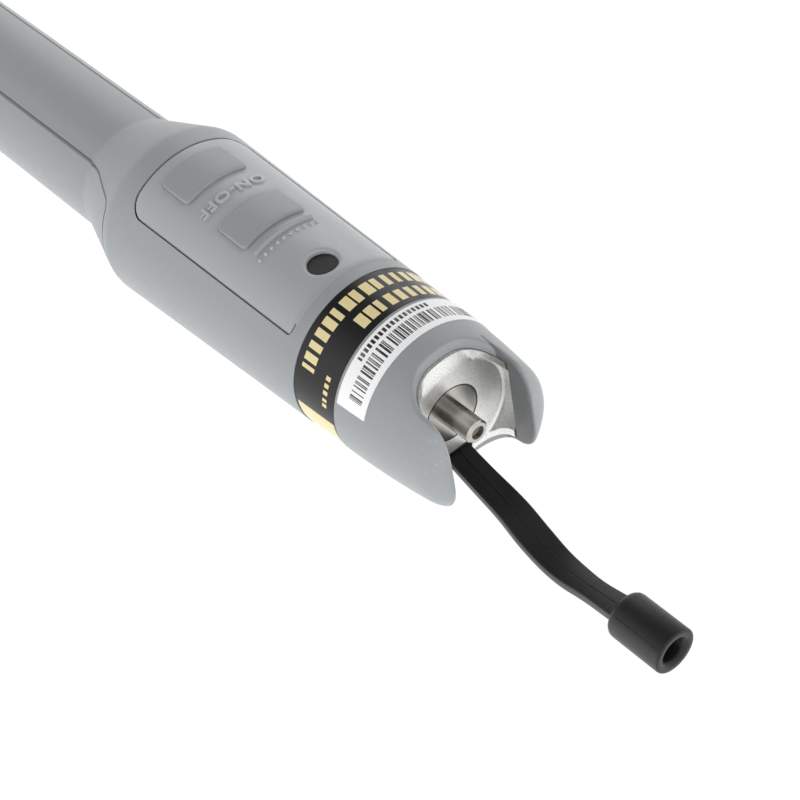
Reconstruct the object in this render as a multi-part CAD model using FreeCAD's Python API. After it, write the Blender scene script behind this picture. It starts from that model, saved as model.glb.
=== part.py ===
import FreeCAD, Part
import math
import os

"""Hand-held visual fault locator: a torch-shaped red-light source for fibre work.

Millimetres. The origin is the centre of the port's mouth. +X points out of the port,
+Z points up through the keypad and +Y completes the frame. Stations along the axis are
given as distances behind the port's mouth unless a comment says otherwise.
"""

V = FreeCAD.Vector
AXIS = V(1, 0, 0)
UP = V(0, 0, 1)
ACROSS = V(0, 1, 0)
ORIGIN = V(0, 0, 0)
FAR = 60.0                      # reach of cutting tools past the whole body
END_FAR = 400.0                 # the same along the axis

# ---------------------------------------------------------------- fibre port
BORE_R = 1.26                   # takes the 2.5 mm ferrule of a fibre plug
BARREL_R = 2.15
BARREL_REACH = 6.2              # port mouth ahead of the flange face
BARREL_CHAMFER = 0.3
FLANGE_R = 5.2
FLANGE_T = 1.2
SPIGOT_R = 3.0
SPIGOT_LENGTH = 7.6
MOUTH_LIP = 1.0                 # solid ring in front of the split sleeve
SLEEVE_WALL = 0.36
SLEEVE_LENGTH = 11.0
SLEEVE_SLOT = 0.4
STOP_T = 1.2
BEAM_R = 0.8

# ---------------------------------------------------------------- outer form
NOSE_REACH = 3.7                # prong tips ahead of the port mouth
NOSE_TIP_R = 4.2
NOSE_ARC_R = 182.0
NOSE_START = 16.9               # where the taper turns into the nose arc
HEAD_TAPER = 0.0355             # loss of radius per millimetre towards the nose
BULGE_AT = 79.5
BULGE_R = 16.85
SHOULDER_R = 5.0                # rounding where the flare meets the head
HOLLOW_R = 5.0                  # and where it leaves the handle
FLARE_AT = 94.0
FLARE_ANGLE = 19.0
HANDLE_R = 11.95
TAIL_CORNER_R = 3.5
REST_FLAT_DEPTH = 0.55          # shallow flat under the bulge, on which it lies

# ---------------------------------------------------------------- seam of the battery door
SEAM_Z = 9.1                    # the housing's edge along the handle
SEAM_FLARE_Z = 10.05            # and where it follows the flare of the head
SEAM_FLARE_RUN = 4.2
SEAM_BEND_R = 6.0
SEAM_CORNER_R = 1.6
SEAM_BEHIND_BULGE = 1.95
SEAM_STEP_W = 0.48              # lowered edge of the strip along the handle
SEAM_STEP_DEPTH = 0.12
TONGUE_SHORT = 5.3              # strip along the handle ends this far before the tail

# ---------------------------------------------------------------- walls and fits
HOUSING_WALL = 3.2
DOOR_WALL = 1.7
SEAM = 0.35                     # visible joint between door and housing
PANEL_SEAM = 0.3                # visible groove round the keypad panel
TIGHT_FIT = 0.05                # pressed or glued pieces
SLIDE_FIT = 0.06                # button sides
DOOR_CLEARANCE = 0.35           # between the door and what it slides over

# ---------------------------------------------------------------- nose guard
GUARD_HALF_GAP = 8.3            # half the width between the two prongs
GUARD_DEPTH = 7.05              # root of the gap behind the port mouth
GUARD_CORNER_R = 5.8
GUARD_EDGE_R = 0.6              # soft edge round the gap
GUARD_LIP_AT = 0.9              # where the prongs close in front of the block

# ---------------------------------------------------------------- nose block
BLOCK_R = 12.0
BLOCK_BACK = 16.4
BLOCK_RIM_DROP = 0.6            # outer rim behind the edge of the dish
DISH_R = 9.94
DISH_DEPTH = 0.4
WALL_INNER_R = 10.9
WALL_FRONT = 1.3
WALL_HALF_GAP = 8.15
WALL_CORNER_R = 5.2
SEAL_AT = 13.4
SEAL_WIRE_R = 0.7
SEAL_SQUEEZE = 0.04

# ---------------------------------------------------------------- tether and cap
BEAD_AT = 7.8
BEAD_DROP = 9.3                 # bead centre below the axis
BEAD_R = 1.7
BEAD_CLEARANCE = 0.08
STRAP_HALF_W = 2.4
STRAP_T = 1.8
STRAP_SIDE_GAP = 0.3
SLOT_ABOVE = 1.3                # mouth of the bead's pocket above and below the bead's centre
SLOT_BELOW = 1.5
STRAP_YAW = -4.2                # degrees, strap turned a little to one side
STRAP_ROUTE = [(7.5, -12.1), (19.5, -16.4), (37.0, -11.2)]
STRAP_BEND_R = 22.0
CAP_R = 4.05
CAP_LENGTH = 11.0
CAP_AT = 34.4                   # rear of the cap ahead of the port mouth
CAP_ASIDE = -3.1
CAP_BORE_GRIP = 0.05
CAP_BORE_DEPTH = 7.6
CAP_REAR_R = 1.3
CAP_MOUTH_R = 0.35
CAP_BORE_FLARE = 0.5

# ---------------------------------------------------------------- keypad panel
PANEL_REAR = 75.0
PANEL_FRONT = 31.2
PANEL_HALF_W_REAR = 12.2
PANEL_HALF_W_FRONT = 11.4
PANEL_CORNER_R = 3.0
PANEL_FRONT_CORNER_R = 0.6
PANEL_T = 2.0
POWER_PAD_AT = 68.0
MODE_PAD_AT = 52.0
PAD_LENGTH = 7.8
PAD_HALF_W = 6.6
PAD_CORNER_R = 0.9
PAD_RISE = 0.5                  # height of the pad's middle above the panel
PAD_TILT = 2.2                  # degrees, front edge higher than the rear
PAD_EDGE_R = 0.35
PAD_DEPTH = 1.0                 # pad sides below the panel's surface
PAD_FLANGE = 0.6                # flange that keeps the pad under the panel
PAD_FLANGE_T = 0.43
PAD_POST_R = 1.6
PAD_TRAVEL = 0.3
WINDOW_AT = 35.6
WINDOW_R = 2.6
WINDOW_RECESS = 0.9
WINDOW_T = 0.6
WINDOW_LEDGE = 0.5
WINDOW_EDGE_R = 0.7             # rolled edge of the panel round the window
PANEL_EDGE_R = 0.3              # rolled edge of the panel beside its groove

# ---------------------------------------------------------------- labels
BAND_REAR = 28.15
BAND_FRONT = 18.1
BAND_RECESS = 0.3
BAND_T = 0.18
BAND_OPEN_ANGLE = 40.0          # degrees each side of straight down left bare
SERIAL_REAR = 17.5
SERIAL_FRONT = 11.2
SERIAL_T = 0.12
SERIAL_HALF_ANGLE = 68.5

# ---------------------------------------------------------------- laser module
LASER_GAP = 0.6
LASER_R = 6.0
LASER_LENGTH = 24.0
LASER_APERTURE_R = 2.2
LENS_R = 3.0
LENS_T = 2.2
LENS_AT = 2.0                   # lens face behind the tube's front
LENS_CROWN = 0.5
LENS_RING_T = 1.4
LENS_RING_R = 1.9
LASER_BORE_R = 2.6
DIODE_FLANGE_R = 2.8
DIODE_FLANGE_T = 1.2
DIODE_CAN_R = 2.35
DIODE_CAN_LENGTH = 3.4
DIODE_LEAD_R = 0.23
DIODE_LEAD_LENGTH = 6.0
DIODE_LEAD_PCD_R = 1.27

# ---------------------------------------------------------------- cells and contacts
CELL_START = 67.0
CELL_R = 7.25
CELL_LENGTH = 50.5
CELL_NUB_R = 2.75
CELL_NUB_LENGTH = 1.2
CELL_EDGE_R = 0.6
CELL_CLEARANCE = 0.25
SPRING_LENGTH = 3.6
SPRING_R = 3.6
SPRING_WIRE_R = 0.35
SPRING_TURNS = 3
CONTACT_T = 0.4
CONTACT_R = 6.4
CONTACT_TAB_HALF_W = 1.5
STRIP_T = 0.25
BULKHEAD_T = 2.0

# ---------------------------------------------------------------- board and frame
BOARD_T = 1.0
BOARD_HALF_W = 5.8
BOARD_FRONT = 29.5
BOARD_HEADROOM = 2.05           # board's top below the head's inner wall at its front edge
BOARD_REAR = 77.0
STRIP_OVER_BOARD = 3.0
SWITCH_SIZE = 4.5
SWITCH_H = 1.8
SWITCH_SKIN = 0.7               # material under the plunger's well
PLUNGER_R = 1.1
PLUNGER_SIDE_GAP = 0.15
PLUNGER_REACH = 0.8
LED_R = 1.5
LED_H = 2.6
RIB_T = 1.6
RIB_FRONT = 43.0
RIB_MIDDLE = 61.0
RIB_REAR = 78.0
FRAME_FLANGE_T = 3.0
SCREW_R = 1.0
SCREW_HEAD_R = 1.8
SCREW_HEAD_T = 1.4
NOSE_SCREW_BITE = 4.4
NOSE_SCREW_SPREAD = 8.0
BOARD_SCREW_BITE = 1.7
BOARD_SCREW_ASIDE = 4.2
BOARD_SCREW_FRONT = 33.0
BOARD_SCREW_REAR = 60.0
BAY_SIDE_DROP = 1.0             # cradle walls below the axis in the battery bay

# ---------------------------------------------------------------- worked out from the above
TAPER_ANGLE = math.atan(HEAD_TAPER)
TAIL_AT = (CELL_START + 2 * CELL_LENGTH + SPRING_LENGTH + CONTACT_T
           + BULKHEAD_T + DOOR_CLEARANCE + DOOR_WALL)
BULKHEAD_AT = TAIL_AT - DOOR_WALL - DOOR_CLEARANCE
REST_DROP = BULGE_R - REST_FLAT_DEPTH
FRAME_R = HANDLE_R - DOOR_WALL - DOOR_CLEARANCE
BOARD_TOP = BULGE_R - HEAD_TAPER * (BULGE_AT - BOARD_FRONT) - HOUSING_WALL - BOARD_HEADROOM
STRIP_Z = BOARD_TOP
BOARD_BOTTOM = BOARD_TOP - BOARD_T
LASER_FRONT = BLOCK_BACK + LASER_GAP
DOOR_FRONT = BULGE_AT + SEAM_BEHIND_BULGE
TONGUE_END = TAIL_AT - TONGUE_SHORT


def line(start, end):
    """Straight edge between two points of the XZ plane."""
    return Part.makeLine(V(start[0], 0, start[1]), V(end[0], 0, end[1]))


def arc(centre, radius, from_angle, to_angle):
    """Arc in the XZ plane, angles in radians measured from +X towards +Z."""
    points = []
    for part in (0.0, 0.5, 1.0):
        angle = from_angle + part * (to_angle - from_angle)
        points.append(V(centre[0] + radius * math.cos(angle), 0, centre[1] + radius * math.sin(angle)))
    return Part.Arc(*points).toShape()


def end_of(edge, number):
    """First (0) or last (1) point of an edge in the XZ plane."""
    point = edge.valueAt((edge.FirstParameter, edge.LastParameter)[number])
    return (point.x, point.z)


def turn(edges):
    """Solid turned about the device's axis from a closed profile, its seam at the side."""
    solid = Part.Face(Part.Wire(edges)).revolve(ORIGIN, AXIS, 360)
    solid.rotate(ORIGIN, AXIS, 90)
    return solid


def turned(points):
    """Solid turned about the axis from straight-sided profile points (x, r)."""
    closed = points + points[:1]
    return turn([line(a, b) for a, b in zip(closed, closed[1:])])


def rod(rear, front, radius):
    """Round bar on the axis; rear and front are distances behind the port mouth."""
    return Part.makeCylinder(radius, rear - front, V(-rear, 0, 0), AXIS)


def tube(rear, front, outer, inner):
    """Round tube on the axis."""
    return rod(rear, front, outer).cut(rod(rear + 1, front - 1, inner))


def block(x_range, y_range, z_range):
    """Box between two corners."""
    size = [b - a for a, b in (x_range, y_range, z_range)]
    return Part.makeBox(*size, V(x_range[0], y_range[0], z_range[0]))


def pin_up(x, y, z_range, radius):
    """Round pin along +Z."""
    return Part.makeCylinder(radius, z_range[1] - z_range[0], V(x, y, z_range[0]), UP)


def prism(points, direction):
    """Prism on a closed outline of points, extruded along a vector."""
    return Part.Face(Part.makePolygon(points + points[:1])).extrude(direction)


def edge_runs_along(edge, direction):
    """True where a straight edge is parallel to a direction."""
    if not isinstance(edge.Curve, Part.Line):
        return False
    return abs(abs(edge.tangentAt(edge.FirstParameter).dot(direction)) - 1) < 1e-6


def round_corner(solid, direction, spot, radius):
    """Round the one straight edge that runs along a direction nearest to a spot."""
    edges = [edge for edge in solid.Edges if edge_runs_along(edge, direction)]
    nearest = min(edges, key=lambda edge: edge.distToShape(Part.Vertex(spot))[0])
    return solid.makeFillet(radius, [nearest])


def skin_radius(station):
    """Outer radius of the head at a distance behind the port mouth, on the taper."""
    return BULGE_R - HEAD_TAPER * (BULGE_AT - station)


def shoulder_centre():
    """Centre of the rounding that touches both the flare and the head's taper."""
    flare = math.radians(FLARE_ANGLE)
    off_flare = FLARE_AT * math.sin(flare) + HANDLE_R * math.cos(flare) - SHOULDER_R
    off_taper = -BULGE_AT * math.sin(TAPER_ANGLE) + BULGE_R * math.cos(TAPER_ANGLE) - SHOULDER_R
    spread = math.sin(flare + TAPER_ANGLE)
    x = (off_taper * math.cos(flare) - off_flare * math.cos(TAPER_ANGLE)) / spread
    z = (off_taper * math.sin(flare) + off_flare * math.sin(TAPER_ANGLE)) / spread
    return (x, z)


def core(inset=0.0):
    """Solid inside the device's outer skin, with the skin moved inwards by inset."""
    tail = -(TAIL_AT - inset)
    handle_r = HANDLE_R - inset
    corner = TAIL_CORNER_R - inset
    flare = math.radians(FLARE_ANGLE)
    hollow_centre = (-FLARE_AT - HOLLOW_R * math.tan(flare / 2), HANDLE_R + HOLLOW_R)
    hollow = arc(hollow_centre, HOLLOW_R + inset, -math.pi / 2, flare - math.pi / 2)
    shoulder = arc(shoulder_centre(), SHOULDER_R - inset, math.pi / 2 + flare, math.pi / 2 - TAPER_ANGLE)
    inward = (-math.sin(TAPER_ANGLE), -math.cos(TAPER_ANGLE))
    nose_skin = (-NOSE_START, skin_radius(NOSE_START))
    nose_centre = (nose_skin[0] + NOSE_ARC_R * inward[0], nose_skin[1] + NOSE_ARC_R * inward[1])
    reach = NOSE_ARC_R - NOSE_TIP_R
    tip_angle = math.acos((NOSE_REACH - NOSE_TIP_R - nose_centre[0]) / reach)
    tip_centre = (NOSE_REACH - NOSE_TIP_R, nose_centre[1] + reach * math.sin(tip_angle))
    nose_r = NOSE_ARC_R - inset
    tip_r = NOSE_TIP_R - inset
    tip = (tip_centre[0] + tip_r, tip_centre[1])
    nose = arc(nose_centre, nose_r, math.pi / 2 - TAPER_ANGLE, tip_angle)
    edges = [
        line((tail, 0), (tail, handle_r - corner)),
        arc((tail + corner, handle_r - corner), corner, math.pi, math.pi / 2),
        line((tail + corner, handle_r), end_of(hollow, 0)),
        hollow,
        line(end_of(hollow, 1), end_of(shoulder, 0)),
        shoulder,
        line(end_of(shoulder, 1), end_of(nose, 0)),
        nose,
        arc(tip_centre, tip_r, tip_angle, 0),
        line(tip, (tip[0], 0)),
        line((tip[0], 0), (tail, 0)),
    ]
    return turn(edges)


def shell(outer_inset, inner_inset):
    """Wall between two insets of the outer skin."""
    return core(outer_inset).cut(core(inner_inset))


def seam_prism(inset):
    """Side-view region of the battery door, drawn in by inset from the housing's edge."""
    crease = -FLARE_AT
    front = -DOOR_FRONT - inset
    low_z = SEAM_Z - inset
    high_z = SEAM_FLARE_Z - inset
    outline = [(-END_FAR, -FAR), (front, -FAR), (front, high_z), (crease + SEAM_FLARE_RUN, high_z),
               (crease, low_z), (-END_FAR, low_z)]
    points = [V(x, -FAR, z) for x, z in outline]
    solid = prism(points, V(0, 2 * FAR, 0))
    solid = round_corner(solid, ACROSS, V(front, 0, high_z), SEAM_CORNER_R - inset)
    return round_corner(solid, ACROSS, V(crease + SEAM_FLARE_RUN, 0, high_z), SEAM_BEND_R)


def gap_prism(half_gap, root, corner_r):
    """Plan-view U through the nose: the gap between the prongs."""
    outline = [(-root, -half_gap), (FAR, -half_gap), (FAR, half_gap), (-root, half_gap)]
    solid = prism([V(x, y, -FAR) for x, y in outline], V(0, 0, 2 * FAR))
    for side in (-half_gap, half_gap):
        solid = round_corner(solid, UP, V(-root, side, 0), corner_r)
    return solid


def panel_prism(grow):
    """Plan-view outline of the keypad panel, grown by a clearance all round."""
    slope = (PANEL_HALF_W_REAR - PANEL_HALF_W_FRONT) / (PANEL_REAR - PANEL_FRONT)
    rear_w = PANEL_HALF_W_REAR + slope * grow + grow
    front_w = PANEL_HALF_W_FRONT - slope * grow + grow
    rear = -PANEL_REAR - grow
    front = -PANEL_FRONT + grow
    outline = [(rear, -rear_w), (front, -front_w), (front, front_w), (rear, rear_w)]
    solid = prism([V(x, y, 0) for x, y in outline], V(0, 0, FAR))
    for side in (-1, 1):
        solid = round_corner(solid, UP, V(rear, side * rear_w, 0), PANEL_CORNER_R + grow)
        solid = round_corner(solid, UP, V(front, side * front_w, 0), PANEL_FRONT_CORNER_R + grow)
    return solid


def pad_prism(station, grow):
    """Plan-view outline of one raised pad, grown by a clearance all round."""
    half_l = PAD_LENGTH / 2 + grow
    half_w = PAD_HALF_W + grow
    solid = block((-station - half_l, -station + half_l), (-half_w, half_w), (0, FAR))
    upright = [edge for edge in solid.Edges if edge_runs_along(edge, UP)]
    return solid.makeFillet(PAD_CORNER_R + grow, upright)


def rest_cut():
    """What lies below the plane that the device rests on."""
    return block((-END_FAR, END_FAR), (-FAR, FAR), (-FAR, -REST_DROP))


def soft_gap_edges(solid):
    """Edges where the gap between the prongs meets the outer skin."""
    found = []
    for edge in solid.Edges:
        box = edge.BoundBox
        middle = edge.valueAt((edge.FirstParameter + edge.LastParameter) / 2)
        radius = math.hypot(middle.y, middle.z)
        on_gap = abs(middle.y) < GUARD_HALF_GAP + 1e-3 and box.XMax < NOSE_REACH + 1e-3
        if on_gap and box.XMin > -GUARD_DEPTH - 1e-3 and radius > BLOCK_R + 1:
            found.append(edge)
    return found


def housing():
    """Soft-touch moulding: head, nose guard and the strip along the top of the handle."""
    head = core().common(rod(DOOR_FRONT, -END_FAR, FAR))
    head = head.cut(core(HOUSING_WALL).common(rod(END_FAR, BLOCK_BACK, FAR)))
    head = head.cut(rod(BLOCK_BACK, GUARD_LIP_AT, BLOCK_R + TIGHT_FIT))
    head = head.cut(gap_prism(GUARD_HALF_GAP, GUARD_DEPTH, GUARD_CORNER_R))
    head = head.makeFillet(GUARD_EDGE_R, soft_gap_edges(head))
    strip = shell(0, DOOR_WALL).common(rod(TONGUE_END, DOOR_FRONT, FAR)).cut(seam_prism(0))
    strip = strip.cut(seam_step())
    body = head.fuse(strip)
    body = body.cut(panel_prism(PANEL_SEAM).cut(core(PANEL_T)))
    body = body.cut(shell(-1, BAND_RECESS).common(tube(BAND_REAR, BAND_FRONT, FAR, 1)))
    for station in (POWER_PAD_AT, MODE_PAD_AT):
        body = body.cut(pin_up(-station, 0, (BOARD_TOP, FAR), PAD_POST_R + SLIDE_FIT * 3))
    body = body.cut(pin_up(-WINDOW_AT, 0, (BOARD_TOP, FAR), WINDOW_R - WINDOW_LEDGE))
    return body.cut(rest_cut()).removeSplitter()


def battery_door():
    """Lower sleeve of the handle, which slides off towards the tail."""
    zone = seam_prism(SEAM).fuse(rod(END_FAR, TONGUE_END + SEAM, FAR))
    strip_way = rod(TONGUE_END + SEAM, DOOR_FRONT, HANDLE_R + DOOR_CLEARANCE)
    strip_way = strip_way.common(block((-END_FAR, 0), (-FAR, FAR), (SEAM_Z - SEAM, FAR)))
    return shell(0, DOOR_WALL).common(zone).cut([strip_way, rest_cut()]).removeSplitter()


def seam_step():
    """Lowered edge that runs along the strip beside the door."""
    edge = seam_prism(-SEAM_STEP_W)
    return edge.common(shell(-SEAM_STEP_DEPTH, SEAM_STEP_DEPTH)).common(rod(END_FAR, FLARE_AT, FAR))


def keypad_panel():
    """Curved insert that carries the pads and the indicator window."""
    panel = panel_prism(0).common(shell(0, PANEL_T))
    outline = [edge for edge in panel.Edges if on_skin(edge.valueAt(edge.FirstParameter))
               and on_skin(edge.valueAt(edge.LastParameter)) and on_skin(middle_of(edge))
               and middle_of(edge).x < -PANEL_FRONT - PANEL_FRONT_CORNER_R]
    panel = panel.makeFillet(PANEL_EDGE_R, outline)
    for station in (POWER_PAD_AT, MODE_PAD_AT):
        panel = panel.cut(pad_prism(station, SLIDE_FIT))
        panel = panel.cut(pad_prism(station, PAD_FLANGE + SLIDE_FIT).common(core(PAD_DEPTH)))
    top = skin_radius(WINDOW_AT)
    seat = top - WINDOW_RECESS - WINDOW_T
    panel = panel.cut(pin_up(-WINDOW_AT, 0, (seat, FAR), WINDOW_R + TIGHT_FIT))
    rim = [edge for edge in panel.Edges if skin_edge_span(edge, WINDOW_R + TIGHT_FIT)]
    panel = panel.makeFillet(WINDOW_EDGE_R, rim)
    return panel.cut(pin_up(-WINDOW_AT, 0, (0, FAR), WINDOW_R - WINDOW_LEDGE))


def middle_of(edge):
    """Point halfway along an edge."""
    return edge.valueAt((edge.FirstParameter + edge.LastParameter) / 2)


def on_skin(point):
    """True for a point on the head's skin."""
    return abs(math.hypot(point.y, point.z) - skin_radius(-point.x)) < 2e-3


def skin_edge_span(edge, radius):
    """True for an edge on the skin that runs round the window's hole."""
    for parameter in (edge.FirstParameter, (edge.FirstParameter + edge.LastParameter) / 2):
        point = edge.valueAt(parameter)
        on_hole = abs(math.hypot(point.x + WINDOW_AT, point.y) - radius) < 1e-3
        if not (on_hole and on_skin(point)):
            return False
    return True


def pad_post_foot():
    """Height of the lower end of each pad's post, on top of its switch plunger."""
    return BOARD_TOP + SWITCH_H + PLUNGER_REACH


def button(station):
    """Raised pad with the flange that retains it and the post that works its switch."""
    depth = PAD_DEPTH + SLIDE_FIT
    top = core(-PAD_RISE)
    top.rotate(V(-station, 0, skin_radius(station)), ACROSS, -PAD_TILT)
    pad = pad_prism(station, 0).common(top).cut(core(depth))
    pad = pad.makeFillet(PAD_EDGE_R, [edge for edge in pad.Edges if edge_on_pad_top(edge)])
    flange = pad_prism(station, PAD_FLANGE - SLIDE_FIT).common(shell(depth, depth + PAD_FLANGE_T))
    root = skin_radius(station) - PAD_DEPTH
    post = pin_up(-station, 0, (pad_post_foot(), root), PAD_POST_R)
    return pad.fuse([flange, post]).removeSplitter()


def edge_on_pad_top(edge):
    """True for the edges round the raised top of a pad."""
    limit = PAD_RISE / 2
    for vertex in edge.Vertexes:
        if math.hypot(vertex.Y, vertex.Z) < skin_radius(-vertex.X) + limit:
            return False
    return not edge_runs_along(edge, UP)


def indicator_window():
    """Dark lens over the indicator light."""
    top = skin_radius(WINDOW_AT) - WINDOW_RECESS
    return pin_up(-WINDOW_AT, 0, (top - WINDOW_T, top), WINDOW_R)


def band_label():
    """Foil band in its recess round the head, with bare skin underneath."""
    band = shell(BAND_RECESS - BAND_T, BAND_RECESS)
    band = band.common(tube(BAND_REAR - TIGHT_FIT, BAND_FRONT + TIGHT_FIT, FAR, 1))
    reach = FAR * math.tan(math.radians(BAND_OPEN_ANGLE))
    bare = [V(-END_FAR, 0, 0), V(-END_FAR, reach, -FAR), V(-END_FAR, -reach, -FAR)]
    return band.cut(prism(bare, V(2 * END_FAR, 0, 0)))


def serial_label():
    """Thin label stuck over the top of the head, ahead of the band."""
    label = shell(-SERIAL_T, 0).common(tube(SERIAL_REAR, SERIAL_FRONT, FAR, 1))
    edge_z = skin_radius(SERIAL_REAR) * math.cos(math.radians(SERIAL_HALF_ANGLE))
    return label.common(block((-END_FAR, END_FAR), (-FAR, FAR), (edge_z, FAR)))


def nose_screw_spots():
    """Centres of the two screws that hold the nose block, either side of the axis."""
    return [V(0, side * NOSE_SCREW_SPREAD, 0) for side in (-1, 1)]


def nose_block():
    """Dished aluminium block that fills the nose and holds the port."""
    floor = BARREL_REACH
    dish_edge = floor - DISH_DEPTH
    rim = dish_edge + BLOCK_RIM_DROP
    base = turned([(-BLOCK_BACK, 0), (-BLOCK_BACK, BLOCK_R), (-rim, BLOCK_R), (-dish_edge, DISH_R),
                   (-floor, FLANGE_R), (-floor, 0)])
    curl = WALL_INNER_R - DISH_R
    wall = turn([
        line((-rim, DISH_R), (-dish_edge, DISH_R)),
        arc((-dish_edge + curl, DISH_R), curl, math.pi, math.pi / 2),
        line((-dish_edge + curl, WALL_INNER_R), (-WALL_FRONT, WALL_INNER_R)),
        line((-WALL_FRONT, WALL_INNER_R), (-WALL_FRONT, BLOCK_R)),
        line((-WALL_FRONT, BLOCK_R), (-rim, BLOCK_R)),
        line((-rim, BLOCK_R), (-rim, DISH_R)),
    ])
    wall = wall.cut(gap_prism(WALL_HALF_GAP, rim, WALL_CORNER_R))
    body = base.fuse(wall)
    body = body.cut(rod(BARREL_REACH + FLANGE_T, 0, FLANGE_R + TIGHT_FIT))
    body = body.cut(rod(BLOCK_BACK + 1, 0, SPIGOT_R + TIGHT_FIT))
    groove_w = SEAL_WIRE_R + SEAL_SQUEEZE
    body = body.cut(tube(SEAL_AT + groove_w, SEAL_AT - groove_w, FAR, seal_seat_r()))
    for spot in nose_screw_spots():
        hole = rod(BLOCK_BACK, BLOCK_BACK - NOSE_SCREW_BITE, SCREW_R)
        body = body.cut(hole.translated(spot))
    return body.cut(tether_slot()).removeSplitter()


def seal_seat_r():
    """Radius of the floor of the seal's groove."""
    return BLOCK_R + TIGHT_FIT - SEAL_SQUEEZE - 2 * SEAL_WIRE_R - SEAL_SQUEEZE


def nose_seal():
    """O-ring between the nose block and the housing's bore."""
    return Part.makeTorus(seal_seat_r() + SEAL_SQUEEZE + SEAL_WIRE_R, SEAL_WIRE_R, V(-SEAL_AT, 0, 0), AXIS)


def tether_slot():
    """Pocket for the tether's bead and the slot that its strap leaves by."""
    half_w = STRAP_HALF_W + STRAP_SIDE_GAP
    pocket_r = BEAD_R + BEAD_CLEARANCE
    pocket = Part.makeCylinder(pocket_r, 2 * half_w, V(-BEAD_AT, -half_w, -BEAD_DROP), ACROSS)
    mouth = block((-BEAD_AT, 0), (-half_w, half_w), (-BEAD_DROP - SLOT_BELOW, -BEAD_DROP + SLOT_ABOVE))
    return pocket.fuse(mouth)


def ferrule_barrel():
    """Stainless port barrel with its flange and the spigot behind it."""
    spigot_rear = BARREL_REACH + FLANGE_T + SPIGOT_LENGTH
    outline = [
        (0, BORE_R), (0, BARREL_R - BARREL_CHAMFER), (-BARREL_CHAMFER, BARREL_R),
        (-BARREL_REACH, BARREL_R), (-BARREL_REACH, FLANGE_R),
        (-BARREL_REACH - FLANGE_T, FLANGE_R), (-BARREL_REACH - FLANGE_T, SPIGOT_R),
        (-spigot_rear, SPIGOT_R), (-spigot_rear, sleeve_pocket_r()),
        (-MOUTH_LIP, sleeve_pocket_r()), (-MOUTH_LIP, BORE_R),
    ]
    return turned(outline)


def sleeve_pocket_r():
    """Bore of the barrel behind its mouth, round the split sleeve."""
    return BORE_R + SLEEVE_WALL + TIGHT_FIT


def ferrule_sleeve():
    """Split ceramic sleeve that lines up the plug's ferrule."""
    sleeve = tube(MOUTH_LIP + SLEEVE_LENGTH, MOUTH_LIP, BORE_R + SLEEVE_WALL, BORE_R)
    slit = block((-END_FAR, 0), (-SLEEVE_SLOT / 2, SLEEVE_SLOT / 2), (0, FAR))
    return sleeve.cut(slit)


def sleeve_stop():
    """Ring that closes the barrel behind the sleeve and lets the beam through."""
    front = MOUTH_LIP + SLEEVE_LENGTH
    return tube(front + STOP_T, front, sleeve_pocket_r(), BEAM_R)


def strap_points():
    """Centre line of the strap from the bead to the cap, in the strap's own plane."""
    return [(-BEAD_AT, -BEAD_DROP)] + STRAP_ROUTE


def strap_path():
    """Straight runs joined by tangent arcs along the strap's centre line."""
    points = [V(x, 0, z) for x, z in strap_points()]
    edges = []
    start = points[0]
    for before, corner, after in zip(points, points[1:], points[2:]):
        come = (corner - before).normalize()
        leave = (after - corner).normalize()
        half_turn = math.acos(max(-1.0, min(1.0, come.dot(leave)))) / 2
        trim = STRAP_BEND_R * math.tan(half_turn)
        bend_in = corner - come * trim
        bend_out = corner + leave * trim
        toward = (leave - come).normalize()
        middle = corner + toward * (STRAP_BEND_R / math.cos(half_turn) - STRAP_BEND_R)
        edges.append(Part.makeLine(start, bend_in))
        edges.append(Part.Arc(bend_in, middle, bend_out).toShape())
        start = bend_out
    edges.append(Part.makeLine(start, points[-1]))
    return Part.Wire(edges)


def dust_cap():
    """Rubber cap, flat strap and root bead in one moulding, lying as it was laid down."""
    path = strap_path()
    start = path.Edges[0].Vertexes[0].Point
    along = path.Edges[0].tangentAt(0)
    normal = along.cross(ACROSS)
    half_t = normal * (STRAP_T / 2)
    half_w = ACROSS * STRAP_HALF_W
    corners = [start + half_t + half_w, start + half_t - half_w, start - half_t - half_w, start - half_t + half_w]
    section = Part.makePolygon(corners + corners[:1])
    strap = path.makePipeShell([section], True, False)
    strap.rotate(V(-BEAD_AT, 0, -BEAD_DROP), UP, STRAP_YAW)
    bead = Part.makeCylinder(BEAD_R, 2 * STRAP_HALF_W, V(-BEAD_AT, -STRAP_HALF_W, -BEAD_DROP), ACROSS)
    return bead.fuse([strap, cap()]).cut(cap_bore()).removeSplitter()


def cap_centre():
    """Middle of the cap's rear end, at the height at which the cap lies."""
    return V(CAP_AT, CAP_ASIDE, CAP_R - REST_DROP)


def cap():
    """Outer form of the cap, rounded at the rear and softened at the mouth."""
    body = Part.makeCylinder(CAP_R, CAP_LENGTH, cap_centre(), AXIS)
    for x, radius in ((CAP_AT, CAP_REAR_R), (CAP_AT + CAP_LENGTH, CAP_MOUTH_R)):
        rim = [edge for edge in body.Edges if isinstance(edge.Curve, Part.Circle)
               and abs(edge.Curve.Center.x - x) < 1e-6]
        body = body.makeFillet(radius, rim)
    return body


def cap_bore():
    """Blind hole of the cap, which grips the port's barrel."""
    mouth = cap_centre() + AXIS * CAP_LENGTH
    radius = BARREL_R + CAP_BORE_GRIP
    flare = Part.makeCone(radius + CAP_BORE_FLARE, radius, CAP_BORE_FLARE, mouth, AXIS * -1)
    return Part.makeCylinder(radius, CAP_BORE_DEPTH, mouth, AXIS * -1).fuse(flare)


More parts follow.
